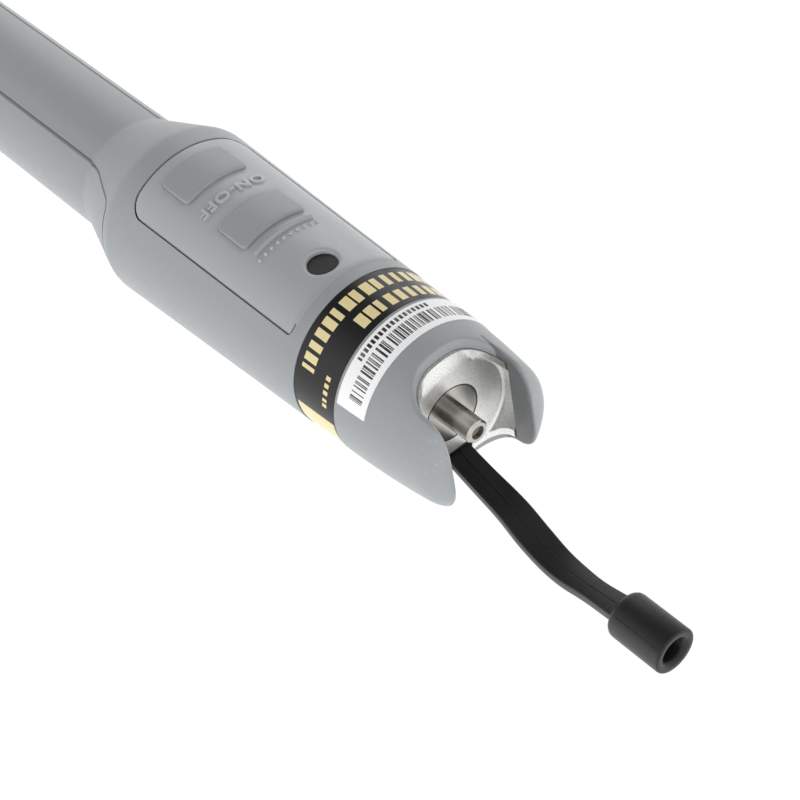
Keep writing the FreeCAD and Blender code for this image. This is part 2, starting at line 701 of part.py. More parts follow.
def frame():
    """Stiff inner moulding that carries the laser, the board and the cells."""
    body = rod(BULKHEAD_AT, BLOCK_BACK, FRAME_R).common(core(DOOR_WALL + DOOR_CLEARANCE))
    flange = core(HOUSING_WALL + TIGHT_FIT).common(rod(BLOCK_BACK + FRAME_FLANGE_T, BLOCK_BACK, FAR))
    body = body.fuse(flange)
    for station in (RIB_FRONT, RIB_MIDDLE, RIB_REAR):
        rib = core(HOUSING_WALL + TIGHT_FIT).common(rod(station + RIB_T, station, FAR))
        body = body.fuse(rib)
    cells_from = CELL_START - CONTACT_T
    cells_to = BULKHEAD_AT - BULKHEAD_T
    body = body.cut(rod(cells_to, cells_from, CELL_R + CELL_CLEARANCE))
    laser_rear = LASER_FRONT + LASER_LENGTH
    body = body.cut(rod(laser_rear, BLOCK_BACK - 1, LASER_R + TIGHT_FIT))
    body = body.cut(rod(cells_from - BULKHEAD_T, laser_rear, LASER_R - 1))
    deck = block((-DOOR_FRONT, -BLOCK_BACK - FRAME_FLANGE_T), (-FAR, FAR), (BOARD_BOTTOM, FAR))
    body = body.cut(deck)
    crest = block((-END_FAR, 0), (-CONTACT_TAB_HALF_W, CONTACT_TAB_HALF_W), (STRIP_Z, FAR))
    body = body.cut(crest)
    bay = block((-cells_to, -DOOR_FRONT), (-FAR, FAR), (-FAR, -BAY_SIDE_DROP))
    body = body.cut(bay)
    for spot in nose_screw_spots():
        body = body.cut(nose_screw(spot))
        side = math.copysign(1, spot.y)
        reach = sorted((side * (NOSE_SCREW_SPREAD - SCREW_HEAD_R - SLIDE_FIT), side * FAR))
        pocket = block((-BOARD_FRONT, -BLOCK_BACK - FRAME_FLANGE_T), reach,
                       (-SCREW_HEAD_R - SLIDE_FIT, SCREW_HEAD_R + SLIDE_FIT))
        body = body.cut(pocket)
    for screw in board_screw_set():
        body = body.cut(screw)
    tab_w = CONTACT_TAB_HALF_W
    for rear in (CELL_START, cells_to):
        body = body.cut(block((-rear, -rear + CONTACT_T), (-tab_w, tab_w), (0, FAR)))
    return body.removeSplitter()


def nose_screw(spot):
    """Screw from behind the frame's flange into the nose block."""
    head_at = BLOCK_BACK + FRAME_FLANGE_T
    shank = rod(head_at, BLOCK_BACK - NOSE_SCREW_BITE, SCREW_R)
    head = rod(head_at + SCREW_HEAD_T, head_at, SCREW_HEAD_R)
    return shank.fuse(head).translated(spot)


def board_screw_set():
    """The two screws of the board, one each side of the axis."""
    return [board_screw(BOARD_SCREW_FRONT, BOARD_SCREW_ASIDE), board_screw(BOARD_SCREW_REAR, -BOARD_SCREW_ASIDE)]


def board_screw(station, side):
    """Screw that holds the circuit board on the frame's deck."""
    shank = pin_up(-station, side, (BOARD_BOTTOM - BOARD_SCREW_BITE, BOARD_TOP), SCREW_R * 0.8)
    head = pin_up(-station, side, (BOARD_TOP, BOARD_TOP + SCREW_HEAD_T / 2), SCREW_HEAD_R * 0.8)
    return shank.fuse(head)


def circuit_board():
    """Board on the frame's flat deck."""
    board = block((-BOARD_REAR, -BOARD_FRONT), (-BOARD_HALF_W, BOARD_HALF_W), (BOARD_BOTTOM, BOARD_TOP))
    return board.cut(board_screw_set())


def tact_switches():
    """Switch bodies under the two pads, soldered to the board."""
    half = SWITCH_SIZE / 2
    bodies = []
    for station in (POWER_PAD_AT, MODE_PAD_AT):
        body = block((-station - half, -station + half), (-half, half), (BOARD_TOP, BOARD_TOP + SWITCH_H))
        well = pin_up(-station, 0, (BOARD_TOP + SWITCH_SKIN, FAR), PLUNGER_R + PLUNGER_SIDE_GAP)
        bodies.append(body.cut(well))
    return Part.makeCompound(bodies)


def plunger(station):
    """Moving stem of one switch, which stands on its spring above the well's floor."""
    foot = BOARD_TOP + SWITCH_SKIN + PAD_TRAVEL + SLIDE_FIT
    return pin_up(-station, 0, (foot, pad_post_foot()), PLUNGER_R)


def indicator_led():
    """Domed indicator light on the board."""
    z_dome = BOARD_TOP + LED_H - LED_R
    stem = pin_up(-WINDOW_AT, 0, (BOARD_TOP, z_dome), LED_R)
    return stem.fuse(Part.makeSphere(LED_R, V(-WINDOW_AT, 0, z_dome), UP, 0, 90, 360)).removeSplitter()


def laser_tube():
    """Brass collimator tube with its aperture, lens seat and diode pocket."""
    front = LASER_FRONT
    rear = front + LASER_LENGTH
    ring_rear = front + LENS_AT + LENS_T + LENS_RING_T
    diode_front = rear - DIODE_FLANGE_T
    body = rod(rear, front, LASER_R)
    body = body.cut(rod(rear + 1, front - 1, LASER_APERTURE_R))
    body = body.cut(rod(ring_rear, front + LENS_AT, LENS_R + TIGHT_FIT))
    body = body.cut(rod(rear + 1, ring_rear, LASER_BORE_R))
    return body.cut(rod(rear + 1, diode_front, DIODE_FLANGE_R + TIGHT_FIT))


def focus_lens():
    """Plano-convex lens, crowned towards the diode."""
    front = LASER_FRONT + LENS_AT
    flat = rod(front + LENS_T - LENS_CROWN, front, LENS_R)
    crown_r = (LENS_R ** 2 + LENS_CROWN ** 2) / (2 * LENS_CROWN)
    ball = Part.makeSphere(crown_r, V(-front - LENS_T + crown_r, 0, 0))
    crown = ball.common(rod(front + LENS_T, front + LENS_T - LENS_CROWN, LENS_R))
    return flat.fuse(crown).removeSplitter()


def lens_ring():
    """Ring that holds the lens in its seat."""
    front = LASER_FRONT + LENS_AT + LENS_T
    return tube(front + LENS_RING_T, front, LENS_R, LENS_RING_R)


def laser_diode():
    """Laser diode in its metal can, with three leads."""
    rear = LASER_FRONT + LASER_LENGTH
    flange = rod(rear, rear - DIODE_FLANGE_T, DIODE_FLANGE_R)
    can = rod(rear - DIODE_FLANGE_T, rear - DIODE_FLANGE_T - DIODE_CAN_LENGTH, DIODE_CAN_R)
    leads = []
    for number in range(3):
        angle = math.radians(90 + 120 * number)
        spot = V(0, DIODE_LEAD_PCD_R * math.cos(angle), DIODE_LEAD_PCD_R * math.sin(angle))
        leads.append(rod(rear + DIODE_LEAD_LENGTH, rear, DIODE_LEAD_R).translated(spot))
    return flange.fuse([can] + leads).removeSplitter()


def cell(number):
    """AA cell, plus end towards the nose; number 0 is the front one."""
    front = CELL_START + number * CELL_LENGTH
    body = rod(front + CELL_LENGTH, front + CELL_NUB_LENGTH, CELL_R)
    rims = [edge for edge in body.Edges if isinstance(edge.Curve, Part.Circle)]
    body = body.makeFillet(CELL_EDGE_R, rims)
    return body.fuse(rod(front + CELL_NUB_LENGTH, front, CELL_NUB_R)).removeSplitter()


def front_contact():
    """Plus plate at the front of the cell bay, with its tab up to the board."""
    plate = rod(CELL_START, CELL_START - CONTACT_T, CONTACT_R)
    tab = block((-CELL_START, -CELL_START + CONTACT_T), (-CONTACT_TAB_HALF_W, CONTACT_TAB_HALF_W),
                (0, BOARD_BOTTOM))
    return plate.fuse(tab).removeSplitter()


def rear_contact():
    """Minus plate on the rear bulkhead, with its tab up to the strip."""
    front = BULKHEAD_AT - BULKHEAD_T - CONTACT_T
    plate = rod(front + CONTACT_T, front, CONTACT_R)
    tab = block((-front - CONTACT_T, -front), (-CONTACT_TAB_HALF_W, CONTACT_TAB_HALF_W), (0, STRIP_Z))
    return plate.fuse(tab).removeSplitter()


def cell_spring():
    """Coil spring that presses the cells forward, each half turn a tilted half ring."""
    rear = CELL_START + 2 * CELL_LENGTH + SPRING_LENGTH
    half_pitch = (SPRING_LENGTH - 2 * SPRING_WIRE_R) / (2 * SPRING_TURNS)
    start = V(-rear + SPRING_WIRE_R, 0, SPRING_R)
    halves = []
    for _ in range(2 * SPRING_TURNS):
        end = V(start.x + half_pitch, 0, -start.z)
        tilt = V(start.z - end.z, 0, end.x - start.x) * math.copysign(1, start.z)
        section = Part.Face(Part.Wire([Part.Circle(start, ACROSS, SPRING_WIRE_R).toShape()]))
        halves.append(section.revolve((start + end) / 2, tilt, 180))
        start = end
    return halves[0].fuse(halves[1:]).removeSplitter()


def bus_strip():
    """Minus strip along the crest of the frame, from the rear plate to the board."""
    rear = BULKHEAD_AT - BULKHEAD_T
    front = BOARD_REAR - STRIP_OVER_BOARD
    half_w = CONTACT_TAB_HALF_W - TIGHT_FIT
    return block((-rear, -front), (-half_w, half_w), (STRIP_Z, STRIP_Z + STRIP_T))


def parts():
    """Every separate piece by name."""
    return {
        "housing": housing(),
        "battery_door": battery_door(),
        "keypad_panel": keypad_panel(),
        "power_button": button(POWER_PAD_AT),
        "mode_button": button(MODE_PAD_AT),
        "indicator_window": indicator_window(),
        "band_label": band_label(),
        "serial_label": serial_label(),
        "nose_block": nose_block(),
        "nose_seal": nose_seal(),
        "nose_screws": Part.makeCompound([nose_screw(spot) for spot in nose_screw_spots()]),
        "ferrule_barrel": ferrule_barrel(),
        "ferrule_sleeve": ferrule_sleeve(),
        "sleeve_stop": sleeve_stop(),
        "dust_cap": dust_cap(),
        "frame": frame(),
        "circuit_board": circuit_board(),
        "board_screws": Part.makeCompound(board_screw_set()),
        "tact_switches": tact_switches(),
        "power_plunger": plunger(POWER_PAD_AT),
        "mode_plunger": plunger(MODE_PAD_AT),
        "indicator_led": indicator_led(),
        "laser_tube": laser_tube(),
        "focus_lens": focus_lens(),
        "lens_ring": lens_ring(),
        "laser_diode": laser_diode(),
        "cell_front": cell(0),
        "cell_rear": cell(1),
        "front_contact": front_contact(),
        "rear_contact": rear_contact(),
        "cell_spring": cell_spring(),
        "bus_strip": bus_strip(),
    }


def main():
    """Write one STEP file for each piece."""
    os.makedirs("parts", exist_ok=True)
    for name, shape in parts().items():
        print(name, shape.ShapeType, len(shape.Solids), round(shape.Volume, 2), shape.isValid())
        shape.exportStep("parts/" + name + ".step")


main()
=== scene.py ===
"""Dresses the hand-held fault locator: finishes, printing, lettering and the soft tether."""
import logging
import math
from dataclasses import dataclass, field
from enum import StrEnum
from typing import Union

import bmesh
import bpy
from mathutils import Matrix, Vector
from mathutils.geometry import interpolate_bezier


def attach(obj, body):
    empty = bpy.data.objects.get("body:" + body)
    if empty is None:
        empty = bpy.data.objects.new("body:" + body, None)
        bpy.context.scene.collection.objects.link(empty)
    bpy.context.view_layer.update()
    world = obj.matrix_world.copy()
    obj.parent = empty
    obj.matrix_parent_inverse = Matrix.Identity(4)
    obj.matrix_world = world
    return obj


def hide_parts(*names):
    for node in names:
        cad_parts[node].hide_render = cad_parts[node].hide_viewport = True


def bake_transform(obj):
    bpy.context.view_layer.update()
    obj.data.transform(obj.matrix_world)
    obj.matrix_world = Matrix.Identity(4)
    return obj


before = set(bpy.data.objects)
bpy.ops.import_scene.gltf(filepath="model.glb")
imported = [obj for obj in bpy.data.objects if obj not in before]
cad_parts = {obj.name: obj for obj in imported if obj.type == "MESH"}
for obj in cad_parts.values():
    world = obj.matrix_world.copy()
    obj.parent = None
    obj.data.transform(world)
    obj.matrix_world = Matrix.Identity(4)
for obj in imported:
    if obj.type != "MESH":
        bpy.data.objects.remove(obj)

MM = 0.001
HALF_TURN = 180.0
CRISP_ANGLE = 38.0
NODE_CRISP_ANGLE = 30.0
WELD_REACH = 0.000001
LOG = logging.getLogger("fault_locator")


# ------------------------------------------------------------------ shader graph


class Value:
    """A shader socket that takes part in arithmetic."""

    def __init__(self, graph: "Graph", socket: bpy.types.NodeSocket) -> None:
        """Keeps the graph that the socket belongs to."""
        self.graph = graph
        self.socket = socket

    def maths(self, operation: str, *others: "Operand") -> "Value":
        """Adds a Math node on this value.

        Args:
            operation: The node's operation.
            others: The other operands.

        Returns:
            The node's result.
        """
        values = dict(enumerate((self, *others)))
        return self.graph.node("Math", {"operation": operation}, values)

    def floor(self) -> "Value":
        """The whole number below."""
        return self.maths("FLOOR")

    def either(self, *others: "Value") -> "Value":
        """The largest of several masks.

        Args:
            others: The other masks.

        Returns:
            The largest at each place.
        """
        largest = self
        for other in others:
            largest = largest.maths("MAXIMUM", other)
        return largest

    def __add__(self, other: "Operand") -> "Value":
        """Sum."""
        return self.maths("ADD", other)

    def __radd__(self, other: "Operand") -> "Value":
        """Sum with a number on the left."""
        return self.maths("ADD", other)

    def __sub__(self, other: "Operand") -> "Value":
        """Difference."""
        return self.maths("SUBTRACT", other)

    def __rsub__(self, other: "Operand") -> "Value":
        """Difference with a number on the left."""
        return self.graph.number(other).maths("SUBTRACT", self)

    def __mul__(self, other: "Operand") -> "Value":
        """Product."""
        return self.maths("MULTIPLY", other)

    def __rmul__(self, other: "Operand") -> "Value":
        """Product with a number on the left."""
        return self.maths("MULTIPLY", other)

    def __truediv__(self, other: "Operand") -> "Value":
        """Quotient."""
        return self.maths("DIVIDE", other)

    def __gt__(self, other: "Operand") -> "Value":
        """1 where greater."""
        return self.maths("GREATER_THAN", other)

    def __lt__(self, other: "Operand") -> "Value":
        """1 where less."""
        return self.maths("LESS_THAN", other)

    def between(self, low: float, high: float) -> "Value":
        """1 where the value lies between two limits."""
        return (self > low) * (self < high)

    def smooth(self, low: float, high: float) -> "Value":
        """Smooth step from 0 at low to 1 at high."""
        return self.graph.node("MapRange", {"interpolation_type": "SMOOTHSTEP"},
                               {"Value": self, "From Min": low, "From Max": high})


Operand = Union[Value, float]
Colour = tuple[float, float, float]
Tint = Union[Value, Colour]


def toned(colour: Colour, factor: float) -> Colour:
    """A colour made darker or lighter by a factor."""
    return tuple(factor * channel for channel in colour)


def radius_from(y: Value, z: Value) -> Value:
    """Distance from the device's axis."""
    return (y * y + z * z).maths("SQRT")


class Graph:
    """The node tree of one material or world."""

    def __init__(self, name: str, owner: bpy.types.World | None = None) -> None:
        """Starts an empty tree.

        Args:
            name: The new material's name.
            owner: A world that takes the tree instead of a new material.
        """
        self.material = owner or bpy.data.materials.new(name)
        self.material.use_nodes = True
        self.tree = self.material.node_tree
        self.tree.nodes.clear()

    def node(self, kind: str, settings: dict | None = None, inputs: dict | None = None,
             output: str | int = 0) -> Value:
        """Adds one shader node.

        Args:
            kind: The node's type, without the ShaderNode prefix.
            settings: Its settings by name, which are set first.
            inputs: Values or links by socket name or number.
            output: The socket that is returned.

        Returns:
            The chosen output.
        """
        made = self.tree.nodes.new("ShaderNode" + kind)
        for key, value in (settings or {}).items():
            setattr(made, key, value)
        for key, value in (inputs or {}).items():
            socket = self._socket(made, key)
            if isinstance(value, Value):
                self.tree.links.new(value.socket, socket)
            elif isinstance(value, tuple) and len(value) == 3 and socket.type == "RGBA":
                socket.default_value = (*value, 1.0)
            else:
                socket.default_value = value
        return Value(self, made.outputs[output])

    @staticmethod
    def _socket(made: bpy.types.Node, key: str | int) -> bpy.types.NodeSocket:
        """The enabled input of that name, or of that number.

        Args:
            made: The node.
            key: Name or number of the input.

        Returns:
            The input.
        """
        if isinstance(key, int):
            return made.inputs[key]
        return next(socket for socket in made.inputs if socket.name == key and socket.enabled)

    def number(self, amount: float) -> Value:
        """A constant as a value."""
        return self.node("Math", {"operation": "ADD"}, {0: amount, 1: 0.0})

    def place(self) -> Value:
        """Object coordinates."""
        return self.node("TexCoord", output="Object")

    def axes(self, vector: Value | None = None) -> tuple[Value, Value, Value]:
        """The three parts of a vector, object coordinates by default.

        Args:
            vector: The vector.

        Returns:
            Its X, Y and Z.
        """
        made = self.node("SeparateXYZ", inputs={"Vector": vector or self.place()})
        outputs = made.socket.node.outputs
        return tuple(Value(self, outputs[number]) for number in range(3))

    def round_axis(self) -> tuple[Value, Value]:
        """Place along the device in millimetres, and angle round it in degrees from the top."""
        x, y, z = self.axes()
        return x / MM, y.maths("ARCTAN2", z) * math.degrees(1.0)

    def noise(self, scale: float, detail: float = 2.0, vector: Value | None = None,
              rough: float = 0.5) -> Value:
        """Noise from 0 to 1; scale is in features per metre."""
        return self.node("TexNoise", None, {"Vector": vector or self.place(), "Scale": scale,
                                            "Detail": detail, "Roughness": rough})

    def chance(self, number: Value, seed: float) -> Value:
        """A random value from 0 to 1 for each whole number."""
        return self.node("TexWhiteNoise", {"noise_dimensions": "1D"}, {"W": number + seed})

    def mix(self, share: Operand, low: Tint, high: Tint) -> Value:
        """Colour mix: low where share is 0, high where it is 1."""
        return self.node("Mix", {"data_type": "RGBA"}, {"Factor": share, "A": low, "B": high}, output=2)

    def bump(self, height: Value, distance: float) -> Value:
        """Normal from a height; distance is in metres."""
        return self.node("Bump", None, {"Height": height, "Distance": distance, "Strength": 1.0})

    def surface(self, constants: dict[str, float], **varying: Operand | Tint) -> bpy.types.Material:
        """Ends the tree in one Principled shader.

        Args:
            constants: Sockets that are the same all over, by name.
            varying: Sockets that take a value or a link, with underscores for spaces.

        Returns:
            The material.
        """
        inputs = dict(constants)
        inputs.update({key.replace("_", " "): value for key, value in varying.items()})
        shader = self.node("BsdfPrincipled", None, inputs)
        self.node_output(shader)
        return self.material

    def node_output(self, shader: Value) -> None:
        """Links a shader to the tree's output.

        Args:
            shader: The shader.
        """
        kind = "World" if isinstance(self.material, bpy.types.World) else "Material"
        made = self.tree.nodes.new("ShaderNodeOutput" + kind)
        self.tree.links.new(shader.socket, made.inputs["Surface"])


# ------------------------------------------------------------------ finishes


@dataclass(frozen=True)
class SoftShell:
    """Grey rubbery moulding with a fine spark grain, dust and handling marks, and painted shade on the inner
    wall of the +Y prong beside the nose block.
    """

    name: str
    colour: Colour = (0.300, 0.317, 0.328)
    grain: float = 2600.0
    grain_height: float = 0.000012
    rough: float = 0.38
    specular: float = 0.55
    worn: Colour = (0.62, 0.63, 0.63)
    # Near-black used as painted shade on the inner wall of the +Y prong; the next three fields place that
    # painted shade.
    prong_shade: Colour = (0.07, 0.07, 0.07)
    scuffs_from: float = -0.006
    scuffs_full: float = 0.0
    prong_shade_from: float = -0.0066
    prong_shade_band: tuple[float, float] = (0.0083, 0.0090)
    prong_shade_edge: float = 0.0003

    def material(self) -> bpy.types.Material:
        """Builds the material.

        Returns:
            The material.
        """
        g = Graph(self.name)
        place = g.place()
        cloudy = g.noise(45.0, 3.0, place)
        mottled = g.noise(700.0, 3.0, place)
        tone = g.mix(cloudy, toned(self.colour, 0.95), toned(self.colour, 1.05))
        tone = g.mix(mottled * 0.25, tone, toned(self.colour, 0.86))
        dust = self._dust(g, place)
        x, y, _ = g.axes(place)
        scratch = g.noise(1500.0, 4.0, place, 0.75).smooth(0.60, 0.70)
        handled = g.noise(210.0, 2.0, place).smooth(0.50, 0.60)
        ahead = x.smooth(self.scuffs_from, self.scuffs_full)
        marks = dust.either(ahead * scratch * handled * 0.75)
        colour = g.mix(marks, tone, self.worn)
        # Painted shade: darkens the +Y prong's inner wall beside the nose block, fading out from y = 8.3 to
        # 9.0 mm, ahead of x = -6.6 mm.
        inner, outer = self.prong_shade_band
        prong_shaded = (1.0 - y.smooth(inner, outer)) * (y > inner - self.prong_shade_edge) * (x > self.prong_shade_from)
        colour = g.mix(prong_shaded * (0.75 - 0.45 * scratch), colour, self.prong_shade)
        spark = g.noise(self.grain, 2.0, place)
        normal = g.bump(spark, self.grain_height)
        rough = self.rough + 0.12 * mottled + 0.2 * marks
        return g.surface({"Specular IOR Level": self.specular, "Sheen Weight": 0.1, "Sheen Roughness": 0.5},
                         Base_Color=colour, Roughness=rough, Normal=normal)

    @staticmethod
    def _dust(g: Graph, place: Value) -> Value:
        """Sparse pale specks.

        Args:
            g: The tree.
            place: Object coordinates.

        Returns:
            A mask of the specks.
        """
        cells = g.node("TexVoronoi", {"feature": "F1"},
                       {"Vector": place, "Scale": 150.0, "Randomness": 1.0})
        chosen = g.noise(330.0, 1.0, place) > 0.56
        return (cells < 0.036) * chosen * 0.6


@dataclass(frozen=True)
class BlastedAluminium:
    """Bead-blasted aluminium with faint turning rings and a near-black ring of painted shade for the gap
    round the port's flange.
    """

    name: str
    colour: Colour = (0.88, 0.88, 0.862)
    rings_per_metre: float = 26000.0
    gap: tuple[float, float] = (0.00514, 0.00548)
    gap_from: float = -0.0075
    # Near-black used as painted shade in the gap round the port's flange.
    flange_gap_shade: Colour = (0.01, 0.01, 0.01)

    def material(self) -> bpy.types.Material:
        """Builds the material.

        Returns:
            The material.
        """
        g = Graph(self.name)
        place = g.place()
        x, y, z = g.axes(place)
        radius = radius_from(y, z)
        rings = (radius * self.rings_per_metre).maths("SINE") * 0.5 + 0.5
        speckle = g.noise(4200.0, 3.0, place, 0.6)
        stain = g.noise(260.0, 3.0, place)
        colour = g.mix(stain, toned(self.colour, 0.9), self.colour)
        colour = g.mix(speckle.smooth(0.35, 0.6), toned(self.colour, 0.74), colour)
        # Painted shade: a near-black ring at radius 5.14 to 5.48 mm stands in for the shadowed gap round the
        # port's flange.
        gap = radius.between(*self.gap) * (x > self.gap_from)
        colour = g.mix(gap * 0.95, colour, self.flange_gap_shade)
        return g.surface({}, Base_Color=colour, Metallic=1.0, Roughness=0.30 + 0.16 * speckle,
                         Normal=g.bump(speckle * 0.8 + rings * 0.2, 0.000010))


@dataclass(frozen=True)
class TurnedSteel:
    """Stainless bar turned on its axis, with fine rings and warm streaks."""

    name: str
    colour: Colour = (0.50, 0.48, 0.445)
    ring_pitch: float = 0.00009
    rough: float = 0.15

    def material(self) -> bpy.types.Material:
        """Builds the material.

        Returns:
            The material.
        """
        g = Graph(self.name)
        place = g.place()
        x, _, _ = g.axes(place)
        fine = g.node("TexNoise", {"noise_dimensions": "1D"},
                      {"W": x / self.ring_pitch, "Scale": 1.0, "Detail": 4.0})
        broad = g.noise(420.0, 3.0, place)
        colour = g.mix(fine, toned(self.colour, 0.72), toned(self.colour, 1.15))
        colour = g.mix(broad * 0.5, colour, toned(self.colour, 0.75))
        return g.surface({}, Base_Color=colour, Metallic=1.0, Roughness=self.rough + 0.14 * broad,
                         Normal=g.bump(fine, 0.000006))


@dataclass(frozen=True)
class BlackRubber:
    """Moulded black rubber, satin, with a few pale rub marks, and painted light that makes the faces turned
    to the sides paler.
    """

    name: str
    colour: Colour = (0.0062, 0.0062, 0.0064)
    rubbed: Colour = (0.28, 0.28, 0.28)

    def material(self) -> bpy.types.Material:
        """Builds the material.

        Returns:
            The material.
        """
        g = Graph(self.name)
        place = g.place()
        grain = g.noise(1900.0, 3.0, place)
        broad = g.noise(120.0, 2.0, place)
        rubs = g.noise(950.0, 5.0, place, 0.8).smooth(0.72, 0.76) * broad.smooth(0.55, 0.62)
        colour = g.mix(broad, toned(self.colour, 0.85), toned(self.colour, 1.3))
        colour = g.mix(rubs * 0.6, colour, self.rubbed)
        # Painted light: faces turned towards +Y or -Y are made paler, standing in for light falling on them.
        _, aside, _ = g.axes(g.node("TexCoord", output="Normal"))
        colour = g.mix(aside.maths("ABSOLUTE").smooth(0.7, 0.95), colour, toned(self.colour, 6.0))
        return g.surface({"Specular IOR Level": 0.37}, Base_Color=colour,
                         Roughness=0.29 + 0.14 * grain + 0.16 * broad, Normal=g.bump(grain, 0.000016))


@dataclass(frozen=True)
class SmokedLens:
    """Dark tinted plastic with a stippled back."""

    name: str
    dark: Colour = (0.006, 0.006, 0.007)
    pale: Colour = (0.09, 0.09, 0.10)

    def material(self) -> bpy.types.Material:
        """Builds the material.

        Returns:
            The material.
        """
        g = Graph(self.name)
        place = g.place()
        stipple = g.noise(4200.0, 3.0, place, 0.7)
        colour = g.mix(stipple.smooth(0.58, 0.72), self.dark, self.pale)
        return g.surface({"Specular IOR Level": 0.4}, Base_Color=colour, Roughness=0.26 + 0.3 * stipple,
                         Normal=g.bump(stipple, 0.00002))


@dataclass(frozen=True)
class Row:
    """One row of print round the head: millimetres along it and degrees round it."""

    place: tuple[float, float]
    span: tuple[float, float]
    step: float
    seed: float = 0.0
    shift: float = 0.0


@dataclass(frozen=True)
class PrintedBand:
    """Black foil band with plain gold bars in rows and a gold field at its lower end."""

    name: str
    front_row: Row = Row((-22.3, -19.5), (-22.0, 62.0), 8.2, 0.2, 3.0)
    rear_row: Row = Row((-26.8, -23.9), (-62.0, 70.0), 8.2, 0.7)
    small_row: Row = Row((-21.1, -20.1), (-80.0, -56.0), 5.2, 0.4)
    gold_field: tuple[float, float] = (-27.6, -18.7)
    gold_below: float = -91.0
    gold: Colour = (0.80, 0.68, 0.36)
    black: Colour = (0.0045, 0.0042, 0.0042)

    def material(self) -> bpy.types.Material:
        """Builds the material.

        Returns:
            The material.
        """
        g = Graph(self.name)
        x_mm, angle = g.round_axis()
        rows = [self._bars(g, x_mm, angle, row) for row in (self.front_row, self.rear_row, self.small_row)]
        gilded = (x_mm.between(*self.gold_field) * (angle < self.gold_below)).either(*rows)
        foil = g.noise(900.0, 3.0)
        gold = g.mix(foil, toned(self.gold, 0.9), toned(self.gold, 1.08))
        black = g.mix(foil, self.black, toned(self.black, 1.7))
        return g.surface({"Specular IOR Level": 0.34}, Base_Color=g.mix(gilded, black, gold),
                         Roughness=0.2 + 0.1 * foil, Normal=g.bump(gilded * 0.5 + foil * 0.3, 0.000012))

    @staticmethod
    def _bars(g: Graph, x_mm: Value, angle: Value, row: Row) -> Value:
        """Bars of uneven length side by side in one row.

        Args:
            g: The tree.
            x_mm: Place along the device.
            angle: Angle round it.
            row: The row.

        Returns:
            A mask of the bars.
        """
        turn = (angle + (HALF_TURN + row.shift)) / row.step
        number = turn.floor()
        along = turn - number
        bars = (along > 0.06) * (along < 0.52 + 0.38 * g.chance(number, row.seed))
        return x_mm.between(*row.place) * angle.between(*row.span) * bars


@dataclass(frozen=True)
class PrintedLabel:
    """White label with plain black bars and a row of small dashes."""

    name: str
    bar_row: Row = Row((-15.2, -12.4), (-60.0, 61.0), 3.3)
    dash_row: Row = Row((-16.9, -15.9), (-36.0, 24.0), 3.4)
    paper: Colour = (0.95, 0.95, 0.96)
    ink: Colour = (0.012, 0.012, 0.012)

    def material(self) -> bpy.types.Material:
        """Builds the material.

        Returns:
            The material.
        """
        g = Graph(self.name)
        x_mm, angle = g.round_axis()
        bars, dashes = ((x_mm.between(*row.place) * angle.between(*row.span), (angle + HALF_TURN) / row.step)
                        for row in (self.bar_row, self.dash_row))
        dash_along = dashes[1] - dashes[1].floor()
        worn = 0.86 + 0.14 * g.noise(300.0, 2.0).smooth(0.35, 0.55)
        inked = (bars[0] * self._bars(g, bars[1])).either(dashes[0] * dash_along.between(0.18, 0.82)) * worn
        fibre = g.noise(1400.0, 3.0)
        paper = g.mix(fibre, toned(self.paper, 0.95), self.paper)
        return g.surface({"Specular IOR Level": 0.45}, Base_Color=g.mix(inked, paper, self.ink),
                         Roughness=0.42 + 0.1 * fibre, Normal=g.bump(fibre, 0.000008))

    @staticmethod
    def _bars(g: Graph, turn: Value) -> Value:
        """Thin and thick bars beside each other in no order, two to a step.

        Args:
            g: The tree.
            turn: Angle round the head in steps.

        Returns:
            A mask of the bars.
        """
        number = turn.floor()
        along = turn - number
        first, second = g.chance(number, 0.3), g.chance(number, 0.9)
        first_bar = along < 0.22 + 0.3 * first
        second_bar = (along > 0.66) * (along < 0.78 + 0.14 * second) * (second > 0.3)
        return first_bar.either(second_bar)


@dataclass(frozen=True)
class PlainPlastic:
    """Moulded plastic or coating in one colour, with mottling and fine grain."""

    name: str
    colour: Colour
    rough: float = 0.45
    grain: float = 1500.0
    grain_height: float = 0.00001

    def material(self) -> bpy.types.Material:
        """Builds the material.

        Returns:
            The material.
        """
        g = Graph(self.name)
        place = g.place()
        fine = g.noise(self.grain, 3.0, place)
        broad = g.noise(90.0, 2.0, place)
        colour = g.mix(broad, toned(self.colour, 0.88), toned(self.colour, 1.08))
        return g.surface({}, Base_Color=colour, Roughness=self.rough + 0.12 * fine,
                         Normal=g.bump(fine, self.grain_height))


@dataclass(frozen=True)
class BareMetal:
    """Plated or bare metal with soft streaks along one axis."""

    name: str
    colour: Colour
    rough: float = 0.28

    def material(self) -> bpy.types.Material:
        """Builds the material.

        Returns:
            The material.
        """
        g = Graph(self.name)
        place = g.place()
        fine = g.noise(2400.0, 3.0, place)
        broad = g.noise(200.0, 3.0, place)
        colour = g.mix(broad, toned(self.colour, 0.82), self.colour)
        return g.surface({}, Base_Color=colour, Metallic=1.0, Roughness=self.rough + 0.16 * fine,
                         Normal=g.bump(fine, 0.000005))


